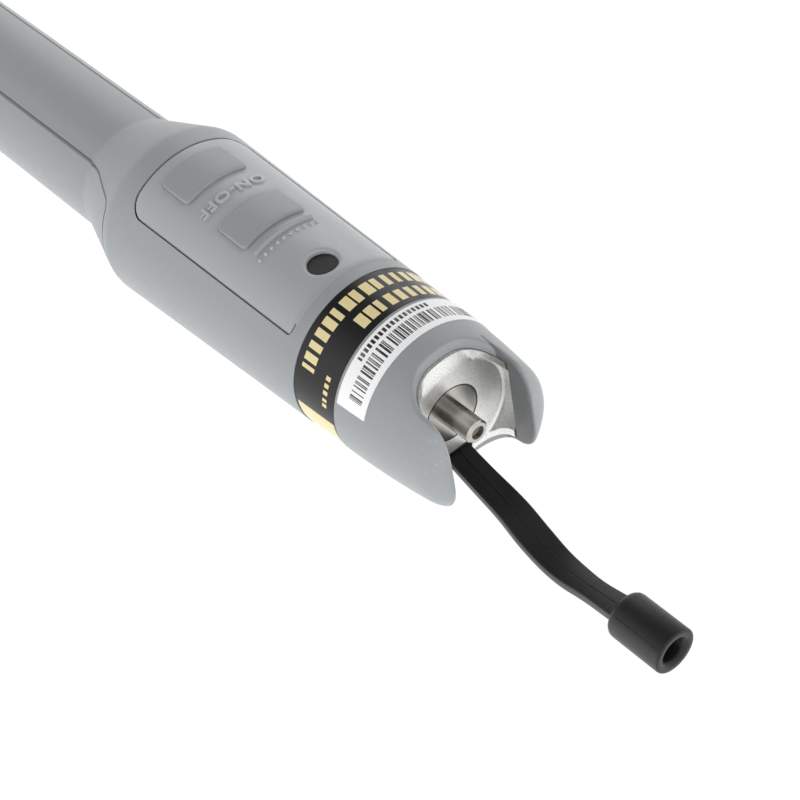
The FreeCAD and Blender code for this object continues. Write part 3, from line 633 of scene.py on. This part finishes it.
@dataclass(frozen=True)
class SolderMask:
    """Green circuit board with paler tracks."""

    name: str
    lane: float = 1.4 * MM
    run: float = 5.2 * MM
    green: Colour = (0.012, 0.095, 0.035)
    track: Colour = (0.035, 0.20, 0.075)
    weave: Colour = (0.01, 0.06, 0.03)

    def material(self) -> bpy.types.Material:
        """Builds the material.

        Returns:
            The material.
        """
        g = Graph(self.name)
        x, y, _ = g.axes()
        lane = y / self.lane
        cells = g.node("CombineXYZ", None, {"X": (x / self.run).floor(), "Y": lane.floor()})
        runs = g.node("TexWhiteNoise", {"noise_dimensions": "2D"}, {"Vector": cells}) > 0.45
        tracks = lane.maths("FRACT").between(0.35, 0.6) * runs
        weave = g.noise(2000.0, 2.0)
        colour = g.mix(tracks, self.green, self.track)
        colour = g.mix(weave * 0.2, colour, self.weave)
        return g.surface({"Coat Weight": 0.3}, Base_Color=colour, Roughness=0.35 + 0.1 * weave,
                         Normal=g.bump(tracks, 0.00003))


@dataclass(frozen=True)
class CellSleeve:
    """Shrink sleeve of a battery cell: dark body with a coppery shoulder and bare ends."""

    name: str
    first_end: float = -0.067
    length: float = 0.0505
    end_r: float = 0.0062
    dark: Colour = (0.02, 0.021, 0.023)
    copper: Colour = (0.55, 0.27, 0.10)
    bare: Colour = (0.62, 0.62, 0.62)

    def material(self) -> bpy.types.Material:
        """Builds the material.

        Returns:
            The material.
        """
        g = Graph(self.name)
        x, y, z = g.axes()
        along = (self.first_end - x) / self.length
        share = along - along.floor()
        radius = radius_from(y, z)
        bare = (radius < self.end_r).either(share < 0.012)
        wrinkle = g.noise(500.0, 3.0)
        sleeve = g.mix(share.between(0.02, 0.27), self.dark, self.copper)
        return g.surface({}, Base_Color=g.mix(bare, sleeve, self.bare), Metallic=0.25 + 0.7 * bare,
                         Roughness=0.28 + 0.14 * wrinkle, Normal=g.bump(wrinkle, 0.00002))


@dataclass(frozen=True)
class ClearLens:
    """Optical glass with a faint coating."""

    name: str

    def material(self) -> bpy.types.Material:
        """Builds the material.

        Returns:
            The material.
        """
        g = Graph(self.name)
        film = g.noise(150.0, 2.0)
        colour = g.mix(film, (0.86, 0.93, 1.0), (0.95, 0.97, 1.0))
        return g.surface({"IOR": 1.52, "Transmission Weight": 0.9}, Base_Color=colour,
                         Roughness=0.02 + 0.02 * film)


# ------------------------------------------------------------------ mesh helpers


class Body(StrEnum):
    """Bodies that a piece of the scene rides on."""

    DEVICE = "device"
    CAP = "dust_cap"


class Slot(StrEnum):
    """Material slot names of the record; no piece here is given one."""

    PANEL = "panel"
    CAP_RUBBER = "cap_rubber"


def apply_finish(piece: bpy.types.Object, finish: bpy.types.Material) -> None:
    """Gives a piece its material on every face.

    Args:
        piece: The object.
        finish: The material.
    """
    slots = piece.data.materials
    if not slots:
        slots.append(finish)
    for number in range(len(slots)):
        slots[number] = finish


def build_piece(name: str, bm: bmesh.types.BMesh, finish: bpy.types.Material,
                body: Body | None = None) -> bpy.types.Object:
    """Turns a finished bmesh into a piece with a finish.

    Args:
        name: The piece's name.
        bm: The mesh in the device's frame, in millimetres. It is freed.
        finish: The material.
        body: The body that it rides on, or None to leave it on no body.

    Returns:
        The new object.
    """
    bmesh.ops.scale(bm, verts=bm.verts, vec=(MM, MM, MM))
    bmesh.ops.recalc_face_normals(bm, faces=bm.faces)
    mesh = bpy.data.meshes.new(name)
    bm.to_mesh(mesh)
    bm.free()
    mesh.shade_smooth()
    mesh.set_sharp_from_angle(angle=math.radians(CRISP_ANGLE))
    piece = bpy.data.objects.new(name, mesh)
    bpy.context.scene.collection.objects.link(piece)
    apply_finish(piece, finish)
    if body:
        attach(piece, body)
    LOG.info("%s: %d faces", name, len(mesh.polygons))
    return piece


def dress_node(node: str, finish: bpy.types.Material, rounding: float = 0.0) -> None:
    """Gives a CAD node its finish and smooth shading over its curved faces.

    Args:
        node: The CAD node's name.
        finish: The material.
        rounding: Size of the small round worn onto its edges, in millimetres; none at 0.
    """
    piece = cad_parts[node]
    apply_finish(piece, finish)
    weld = piece.modifiers.new("weld", "WELD")
    weld.merge_threshold = WELD_REACH
    if rounding:
        worn = piece.modifiers.new("worn_edges", "BEVEL")
        worn.width = rounding * MM
        worn.segments = 2
        worn.limit_method = "ANGLE"
        worn.angle_limit = math.radians(NODE_CRISP_ANGLE)
    crisp = piece.modifiers.new("crisp_edges", "EDGE_SPLIT")
    crisp.split_angle = math.radians(NODE_CRISP_ANGLE)
    piece.data.shade_smooth()
    LOG.info("%s: CAD node dressed with %s", node, finish.name)


# ------------------------------------------------------------------ sub-assemblies


@dataclass
class HeadForm:
    """Outer form of the head, on which the keypad's lettering sits. Millimetres."""

    bulge_at: float = 79.5
    bulge_r: float = 16.85
    taper: float = 0.0355

    def radius(self, x: float) -> float:
        """Outer radius at a station along the axis."""
        return self.bulge_r - self.taper * (self.bulge_at + x)

    def lay(self, bm: bmesh.types.BMesh) -> None:
        """Lays a flat pattern, drawn over the keypad in plan, round the head.

        Args:
            bm: Pattern with its height above the surface in Z, in millimetres.
        """
        for vertex in bm.verts:
            x, y, height = vertex.co
            radius = self.radius(x)
            angle = y / radius
            reach = radius + height
            vertex.co = Vector((x, reach * math.sin(angle), reach * math.cos(angle)))


@dataclass
class Shells:
    """The grey outer mouldings: housing, battery door and keypad panel."""

    grey: SoftShell = SoftShell("soft_grey_shell")
    panel_grey: SoftShell = SoftShell("panel_grey", (0.352, 0.374, 0.390), 3200.0, rough=0.27, specular=0.75)
    pad_grey: SoftShell = SoftShell("pad_grey", (0.292, 0.312, 0.326), 3200.0)
    panel_rounding: float = 0.2

    def build(self) -> None:
        """Dresses the shells and the pads."""
        shell, pad = self.grey.material(), self.pad_grey.material()
        dress_node("keypad_panel", self.panel_grey.material(), self.panel_rounding)
        for node, finish in {"housing": shell, "battery_door": shell,
                             "power_button": pad, "mode_button": pad}.items():
            dress_node(node, finish)


@dataclass
class KeypadMarks:
    """Raised lettering, rib and dots on the keypad. Millimetres in plan view."""

    form: HeadForm
    word: str = "ON-OFF"
    word_at: float = -60.1
    word_size: float = 2.75
    word_spacing: float = 1.12
    word_length: float = 13.9
    word_height: float = 0.36
    word_swell: float = 0.02
    word_bevel: float = 0.07
    rib_at: float = -45.85
    rib_section: tuple[float, float] = (0.85, 0.75)
    rib_half: float = 6.4
    dot_at: float = -44.35
    dot_count: int = 10
    dot_step: float = 1.39
    dot_r: float = 0.36
    dot_lift: float = 0.06
    dot_shift: float = -0.2
    lip_at: float = -31.1
    lip_half: float = 11.0
    lip_section: tuple[float, float] = (1.1, 0.10)
    ridge_end: float = 0.6
    merge_reach: float = 0.0005
    # Paler grey: worn pale on the raised letters, a painted highlight on the dots.
    wear_and_highlight_grey: SoftShell = SoftShell("wear_and_highlight_grey", (0.43, 0.45, 0.46), 3200.0, rough=0.25, specular=0.8)
    plain_grey: SoftShell = SoftShell("rib_grey", (0.33, 0.35, 0.365), 3200.0)

    def build(self) -> None:
        """Builds the groups of marks."""
        # The paler grey: wear on the letters, painted highlight on the dots.
        worn = self.wear_and_highlight_grey.material()
        plain = self.plain_grey.material()
        self._word(worn)
        self._dots(worn)
        self._ridge("keypad_rib", plain, self.rib_at, self.rib_half, self.rib_section)
        self._ridge("panel_front_lip", plain, self.lip_at, self.lip_half, self.lip_section)

    def _word(self, finish: bpy.types.Material) -> None:
        """Raised ON-OFF between the pads, read from the nose.

        Args:
            finish: The material.
        """
        text = bpy.data.curves.new("switch_word", "FONT")
        text.body = self.word
        text.size = self.word_size
        text.align_x = "CENTER"
        text.align_y = "CENTER"
        text.space_character = self.word_spacing
        text.offset = self.word_swell
        text.extrude = self.word_height
        text.bevel_depth = self.word_bevel
        text.bevel_resolution = 1
        holder = bpy.data.objects.new("switch_word_text", text)
        bpy.context.scene.collection.objects.link(holder)
        bpy.context.view_layer.update()
        settled = holder.evaluated_get(bpy.context.evaluated_depsgraph_get())
        flat = bpy.data.meshes.new_from_object(settled)
        bpy.data.objects.remove(holder)
        bm = bmesh.new()
        bm.from_mesh(flat)
        bmesh.ops.remove_doubles(bm, verts=bm.verts, dist=self.merge_reach)
        widths = [vertex.co.x for vertex in bm.verts]
        stretch = self.word_length / (max(widths) - min(widths))
        turn = Matrix(((0, 1, 0, self.word_at), (-1, 0, 0, 0), (0, 0, 1, 0), (0, 0, 0, 1)))
        bmesh.ops.scale(bm, verts=bm.verts, vec=(stretch, 1.0, 1.0))
        bmesh.ops.transform(bm, matrix=turn, verts=bm.verts)
        self.form.lay(bm)
        build_piece("switch_word", bm, finish, Body.DEVICE)

    def _ridge(self, name: str, finish: bpy.types.Material, station: float, half_length: float,
               section: tuple[float, float]) -> None:
        """Lays a rounded ridge across the top of the head.

        Args:
            name: The piece's name.
            finish: The material.
            station: Its place along the axis.
            half_length: Half its length round the head.
            section: Its width and its height above the skin.
        """
        width, height = section
        bm = bmesh.new()
        bmesh.ops.create_cone(bm, cap_ends=True, segments=24, radius1=1.0, radius2=1.0,
                              depth=2 * half_length, matrix=Matrix.Rotation(math.radians(90), 4, "X"))
        bmesh.ops.scale(bm, verts=bm.verts, vec=(width / 2, 1.0, height))
        sides = [edge for edge in bm.edges if edge.calc_length() > half_length]
        bmesh.ops.subdivide_edges(bm, edges=sides, cuts=31)
        for vertex in bm.verts:
            ending = max(0.0, abs(vertex.co.y) - half_length + self.ridge_end) / self.ridge_end
            vertex.co.z *= math.sqrt(max(0.0, 1.0 - ending * ending))
        bmesh.ops.translate(bm, verts=bm.verts, vec=(station, 0, 0))
        self.form.lay(bm)
        build_piece(name, bm, finish, Body.DEVICE)

    def _dots(self, finish: bpy.types.Material) -> None:
        """Row of small domes ahead of the rib.

        Args:
            finish: The material.
        """
        bm = bmesh.new()
        first = self.dot_shift - (self.dot_count - 1) * self.dot_step / 2
        for number in range(self.dot_count):
            spot = Matrix.Translation((self.dot_at, first + number * self.dot_step, self.dot_lift))
            bmesh.ops.create_uvsphere(bm, u_segments=16, v_segments=8, radius=self.dot_r, matrix=spot)
        self.form.lay(bm)
        build_piece("keypad_dots", bm, finish, Body.DEVICE)


@dataclass
class Labels:
    """The printed band and the white label round the head."""

    band: PrintedBand = PrintedBand("printed_band")
    serial: PrintedLabel = PrintedLabel("printed_label")

    def build(self) -> None:
        """Dresses both labels."""
        dress_node("band_label", self.band.material())
        dress_node("serial_label", self.serial.material())


@dataclass
class Port:
    """The nose block, the port barrel and what lies inside them."""

    block: BlastedAluminium = BlastedAluminium("blasted_aluminium")
    barrel: TurnedSteel = TurnedSteel("turned_steel")
    sleeve: PlainPlastic = PlainPlastic("grey_ceramic", (0.62, 0.60, 0.56), 0.2)
    stop: BareMetal = BareMetal("turned_brass", (0.72, 0.52, 0.24))
    seal: PlainPlastic = PlainPlastic("seal_rubber", (0.015, 0.015, 0.015), 0.5)
    screws: BareMetal = BareMetal("zinc_screws", (0.6, 0.6, 0.61))

    def build(self) -> None:
        """Dresses the metal of the nose."""
        finishes = {"nose_block": self.block, "ferrule_barrel": self.barrel, "ferrule_sleeve": self.sleeve,
                    "sleeve_stop": self.stop, "nose_seal": self.seal, "nose_screws": self.screws}
        for node, finish in finishes.items():
            dress_node(node, finish.material())


@dataclass
class TetherPath:
    """Centre line of the tether's strap. Millimetres, before it is turned to one side."""

    knots: tuple[tuple[float, float], ...] = (
        (-7.8, -9.3), (-0.5, -10.7), (7.5, -12.0), (13.5, -14.2),
        (19.5, -15.35), (26.5, -14.3), (35.5, -11.8))
    yaw: float = -4.2
    tension: float = 0.36
    steps: int = 9

    def centres(self) -> list[Vector]:
        """Evenly spread points along one smooth curve through the knots.

        Returns:
            The points, from the root to the cap.
        """
        points = [Vector((x, 0, z)) for x, z in self.knots]
        slopes = []
        for number, point in enumerate(points):
            before = points[max(0, number - 1)]
            after = points[min(len(points) - 1, number + 1)]
            slopes.append((after - before).normalized())
        line = [points[0]]
        for start, end, leave, arrive in zip(points, points[1:], slopes, slopes[1:]):
            reach = (end - start).length * self.tension
            handles = (start + leave * reach, end - arrive * reach)
            line += interpolate_bezier(start, *handles, end, self.steps)[1:]
        return line


@dataclass(frozen=True)
class Hump:
    """A smooth rise and fall: its height, its middle and its reach, as shares of a length."""

    height: float
    middle: float
    reach: float

    def at(self, along: float) -> float:
        """Height at a share of the length."""
        return self.height * math.exp(-((along - self.middle) / self.reach) ** 2)


@dataclass
class Tether:
    """Black rubber strap and cap in one moulding. Millimetres."""

    path: TetherPath = field(default_factory=TetherPath)
    width: float = 4.8
    thickness: float = 1.8
    corner: float = 0.32
    groove: float = 0.11
    bead_r: float = 1.7
    swell: Hump = Hump(0.17, 0.45, 0.24)
    waist: Hump = Hump(0.12, 0.84, 0.09)
    cap_r: float = 4.05
    cap_length: float = 11.0
    cap_centre: tuple[float, float, float] = (34.4, -3.1, -12.25)
    cap_rear_r: float = 1.3
    cap_segments: int = 72
    bore_r: float = 2.2
    bore_depth: float = 7.6
    mouth: tuple[tuple[float, float], ...] = ((0.45, 0.0), (0.2, 0.06), (0.06, 0.2), (0.0, 0.45))
    bore_mouth: tuple[tuple[float, float], ...] = ((0.0, 0.75), (0.12, 0.5), (0.45, 0.12), (0.9, 0.0))
    parting_angles: tuple[float, float] = (48.0, 228.0)
    parting_line: tuple[float, float] = (0.16, 0.22)
    nub: tuple[float, float, float] = (0.3, 0.42, 0.42)
    merge_reach: float = 0.0005

    def build(self) -> None:
        """Builds the strap, its bead and the cap."""
        finish = BlackRubber("black_rubber").material()
        self._strap(finish)
        self._cap(finish)

    def _section(self, bm: bmesh.types.BMesh) -> list[bmesh.types.BMVert]:
        """Rounded strap section, across in Y and thick in Z, with a fine mould line on top.

        Args:
            bm: Mesh that takes the section.

        Returns:
            Its vertices in order.
        """
        half_w, half_t, corner = self.width / 2, self.thickness / 2, self.corner
        side, top = half_w - corner, half_t - corner
        outline = []
        corners = ((side, top, 0), (-side, top, 90), (-side, -top, 180), (side, -top, 270))
        for centre_y, centre_z, first in corners:
            for part in range(4):
                angle = math.radians(first + 30 * part)
                outline.append((centre_y + corner * math.cos(angle), centre_z + corner * math.sin(angle)))
            if first == 0:
                outline += [(self.groove, half_t), (0.0, half_t - self.groove), (-self.groove, half_t)]
        return [bm.verts.new((0, y, z)) for y, z in outline]

    def _share(self, along: float) -> float:
        """Share of the root's width: the strap swells half way and has a waist behind the cap."""
        return 1.0 + self.swell.at(along) - self.waist.at(along)

    def _strap(self, finish: bpy.types.Material) -> None:
        """Extrudes the section along the path and rounds the root into its bead.

        Args:
            finish: The material.
        """
        bm = bmesh.new()
        ring = self._section(bm)
        edges = [bm.edges.new((a, b)) for a, b in zip(ring, ring[1:] + ring[:1])]
        centres = self.path.centres()
        bmesh.ops.translate(bm, verts=ring, vec=centres[0])
        heading = centres[1] - centres[0]
        slope = math.atan2(heading.z, heading.x)
        bmesh.ops.rotate(bm, verts=ring, cent=centres[0], matrix=Matrix.Rotation(-slope, 3, "Y"))
        bm.faces.new(ring)
        for number in range(1, len(centres)):
            grown = bmesh.ops.extrude_edge_only(bm, edges=edges)["geom"]
            ring = [item for item in grown if isinstance(item, bmesh.types.BMVert)]
            edges = [item for item in grown if isinstance(item, bmesh.types.BMEdge)]
            bmesh.ops.translate(bm, verts=ring, vec=centres[number] - centres[number - 1])
            ahead = centres[min(number + 1, len(centres) - 1)] - centres[number - 1]
            turned = math.atan2(ahead.z, ahead.x)
            bmesh.ops.rotate(bm, verts=ring, cent=centres[number],
                             matrix=Matrix.Rotation(slope - turned, 3, "Y"))
            wider = self._share(number / len(centres)) / self._share((number - 1) / len(centres))
            bmesh.ops.scale(bm, verts=ring, vec=(1.0, wider, 1.0), space=Matrix.Translation(-centres[number]))
            slope = turned
        bmesh.ops.edgeloop_fill(bm, edges=edges)
        self._bead(bm, centres[0])
        bmesh.ops.rotate(bm, verts=bm.verts, cent=centres[0],
                         matrix=Matrix.Rotation(math.radians(self.path.yaw), 3, "Z"))
        strap = build_piece("tether_strap", bm, finish)
        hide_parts("dust_cap")
        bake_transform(strap)

    def _bead(self, bm: bmesh.types.BMesh, centre: Vector) -> None:
        """Round bead that holds the strap in the nose block.

        Args:
            bm: The strap's mesh.
            centre: The bead's middle.
        """
        turn = Matrix.Translation(centre) @ Matrix.Rotation(math.radians(90), 4, "X")
        bmesh.ops.create_cone(bm, cap_ends=True, segments=32, radius1=self.bead_r, radius2=self.bead_r,
                              depth=self.width, matrix=turn)

    def _cap(self, finish: bpy.types.Material) -> None:
        """Turns the cap on its own axis, with a rolled mouth and a blind bore.

        Args:
            finish: The material.
        """
        bm = bmesh.new()
        length, shoulder, rounding = self.cap_length, self.cap_r - self.cap_rear_r, self.cap_rear_r
        profile = [(0.0, 0.0), (0.0, shoulder)]
        for part in range(1, 5):
            angle = math.radians(22.5 * part)
            profile.append((rounding - rounding * math.cos(angle), shoulder + rounding * math.sin(angle)))
        profile += [(length - behind, self.cap_r - inward) for behind, inward in self.mouth]
        profile += [(length - behind, self.bore_r + outward) for behind, outward in self.bore_mouth]
        profile += [(length - self.bore_depth, self.bore_r), (length - self.bore_depth, 0.0)]
        verts = [bm.verts.new((x, 0, r)) for x, r in profile]
        edges = [bm.edges.new(pair) for pair in zip(verts, verts[1:])]
        bmesh.ops.spin(bm, geom=verts + edges, cent=(0, 0, 0), axis=(1, 0, 0), angle=math.tau,
                       steps=self.cap_segments, use_merge=True)
        bmesh.ops.remove_doubles(bm, verts=bm.verts, dist=self.merge_reach)
        for angle in self.parting_angles:
            self._parting_line(bm, angle)
        bmesh.ops.translate(bm, verts=bm.verts, vec=self.cap_centre)
        build_piece("tether_cap", bm, finish, Body.CAP)

    def _parting_line(self, bm: bmesh.types.BMesh, angle: float) -> None:
        """Fine mould line along the side of the cap, and the nub it leaves at the mouth.

        Args:
            bm: The cap's mesh.
            angle: Its place round the cap, in degrees from the top.
        """
        turn = Matrix.Rotation(math.radians(angle), 4, "X")
        length = self.cap_length - 2.0
        along = Matrix.Translation((1.4 + length / 2, 0, self.cap_r - 0.05))
        line = Matrix.Diagonal((length, *self.parting_line, 1))
        bmesh.ops.create_cube(bm, size=1.0, matrix=turn @ along @ line)
        at_mouth = Matrix.Translation((self.cap_length - 0.32, 0, self.cap_r - 0.42))
        bmesh.ops.create_icosphere(bm, subdivisions=2, radius=1.0,
                                   matrix=turn @ at_mouth @ Matrix.Diagonal((*self.nub, 1)))


@dataclass
class Interior:
    """Everything inside the shells: frame, board, switches, laser and cells."""

    def build(self) -> None:
        """Dresses each inner piece."""
        finishes = {
            PlainPlastic("frame_plastic", (0.022, 0.022, 0.023), 0.5): ("frame",),
            PlainPlastic("switch_plastic", (0.018, 0.018, 0.018), 0.4): ("tact_switches",),
            PlainPlastic("plunger_plastic", (0.42, 0.06, 0.04), 0.4): ("power_plunger", "mode_plunger"),
            PlainPlastic("indicator_red", (0.50, 0.02, 0.02), 0.12): ("indicator_led",),
            BareMetal("nickel_plate", (0.68, 0.66, 0.62)): ("board_screws", "front_contact", "rear_contact",
                                                            "cell_spring", "bus_strip"),
            BareMetal("laser_brass", (0.70, 0.52, 0.25)): ("laser_tube", "lens_ring"),
            BareMetal("diode_gold", (0.8, 0.6, 0.3)): ("laser_diode",),
            CellSleeve("cell_sleeve"): ("cell_front", "cell_rear"),
            SolderMask("solder_mask"): ("circuit_board",),
            SmokedLens("smoked_lens"): ("indicator_window",),
            ClearLens("clear_lens"): ("focus_lens",),
        }
        for finish, nodes in finishes.items():
            material = finish.material()
            for node in nodes:
                dress_node(node, material)


# ------------------------------------------------------------------ studio


@dataclass
class Studio:
    """Pale floor, soft lamp, pale tent and the camera. Millimetres."""

    rest_z: float = -16.3
    floor_glow: float = 1.24
    floor_seen: float = 1.03
    tent_glow: float = 1.38
    tent_dimming: float = 1.05
    tent_bounce: float = 0.4
    camera_at: tuple[float, float, float] = (173.35, -124.47, 233.99)
    forward: tuple[float, float, float] = (-0.581, 0.373, -0.723)
    dim_side: tuple[float, float, float] = (-0.30, 0.10, 0.95)
    bright_side: tuple[float, float, float] = (-0.58, -0.65, 0.49)
    image_up: tuple[float, float, float] = (-0.493, 0.546, 0.678)
    lens: float = 90.0

    def build(self) -> None:
        """Builds the floor, the lamps, the world and the camera."""
        self._floor()
        self._lamp("rear_softbox", (-330, 300, 240), (-60, 0, 0), 300, 0.35)
        self._world()
        self._camera()

    def _floor(self) -> None:
        """Large pale floor that the device lies on."""
        bm = bmesh.new()
        bmesh.ops.create_grid(bm, x_segments=2, y_segments=2, size=3.0)
        bmesh.ops.translate(bm, verts=bm.verts, vec=(0, 0, self.rest_z * MM))
        mesh = bpy.data.meshes.new("floor")
        bm.to_mesh(mesh)
        bm.free()
        floor = bpy.data.objects.new("floor", mesh)
        bpy.context.scene.collection.objects.link(floor)
        g = Graph("pale_floor")
        cloudy = g.noise(14.0, 2.0)
        seen = g.node("LightPath", output="Is Camera Ray")
        shade = g.mix(cloudy, (0.985, 0.985, 0.985), (1.0, 1.0, 1.0))
        glow = g.node("Emission", None, {"Color": shade, "Strength": self.floor_glow})
        plain = g.node("Emission", None, {"Color": shade, "Strength": self.floor_seen})
        g.node_output(g.node("MixShader", None, {0: seen, 1: glow, 2: plain}))
        mesh.materials.append(g.material)

    @staticmethod
    def _lamp(name: str, spot: tuple[float, float, float], target: tuple[float, float, float],
              size: float, power: float) -> None:
        """Adds one square area lamp.

        Args:
            name: The lamp's name.
            spot: Where it hangs, in millimetres.
            target: What it points at, in millimetres.
            size: Its side, in millimetres.
            power: Its power in watts.
        """
        lamp = bpy.data.lights.new(name, "AREA")
        lamp.shape = "SQUARE"
        lamp.size = size * MM
        lamp.energy = power
        holder = bpy.data.objects.new(name, lamp)
        holder.location = Vector(spot) * MM
        aim = (Vector(target) - Vector(spot)).to_track_quat("-Z", "Y")
        holder.rotation_euler = aim.to_euler()
        bpy.context.scene.collection.objects.link(holder)

    def _world(self) -> None:
        """Pale tent, bright near the floor and dim overhead."""
        world = bpy.data.worlds.new("pale_tent")
        g = Graph(world.name, world)
        towards = g.node("TexCoord", output="Generated")
        above, bounced = (g.node("VectorMath", {"operation": "DOT_PRODUCT"},
                                 {0: towards, 1: side}, output="Value")
                          for side in (self.dim_side, self.bright_side))
        glow = (self.tent_glow - self.tent_dimming * above.smooth(0.1, 0.95)
                + self.tent_bounce * bounced.smooth(0.84, 0.98))
        seen = g.node("LightPath", output="Is Camera Ray")
        shade = g.mix(glow / self.tent_glow, (0.0, 0.0, 0.0), (1.0, 1.0, 1.0))
        tent = g.node("Background", None, {"Color": shade, "Strength": self.tent_glow})
        plain = g.node("Background", None, {"Color": (1.0, 1.0, 1.0), "Strength": 1.0})
        g.node_output(g.node("MixShader", None, {0: seen, 1: tent, 2: plain}))
        bpy.context.scene.world = world

    def _camera(self) -> None:
        """Camera above the nose, looking back along the body."""
        data = bpy.data.cameras.new("camera")
        data.lens = self.lens
        data.sensor_width = 36.0
        data.clip_start = 0.01
        data.clip_end = 20.0
        camera = bpy.data.objects.new("camera", data)
        back = -Vector(self.forward).normalized()
        up = Vector(self.image_up).normalized()
        right = up.cross(back).normalized()
        up = back.cross(right).normalized()
        matrix = Matrix((right, up, back)).transposed().to_4x4()
        matrix.translation = Vector(self.camera_at) * MM
        camera.matrix_world = matrix
        bpy.context.scene.collection.objects.link(camera)
        bpy.context.scene.camera = camera


def main() -> None:
    """Builds the scene in order."""
    logging.basicConfig(level=logging.INFO, format="%(name)s %(message)s")
    bpy.context.scene.view_settings.view_transform = "Standard"
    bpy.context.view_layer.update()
    for assembly in (Shells(), KeypadMarks(HeadForm()), Labels(), Port(), Tether(), Interior(), Studio()):
        assembly.build()
        LOG.info("%s: in place", type(assembly).__name__)


if __name__ == "__main__":
    main()
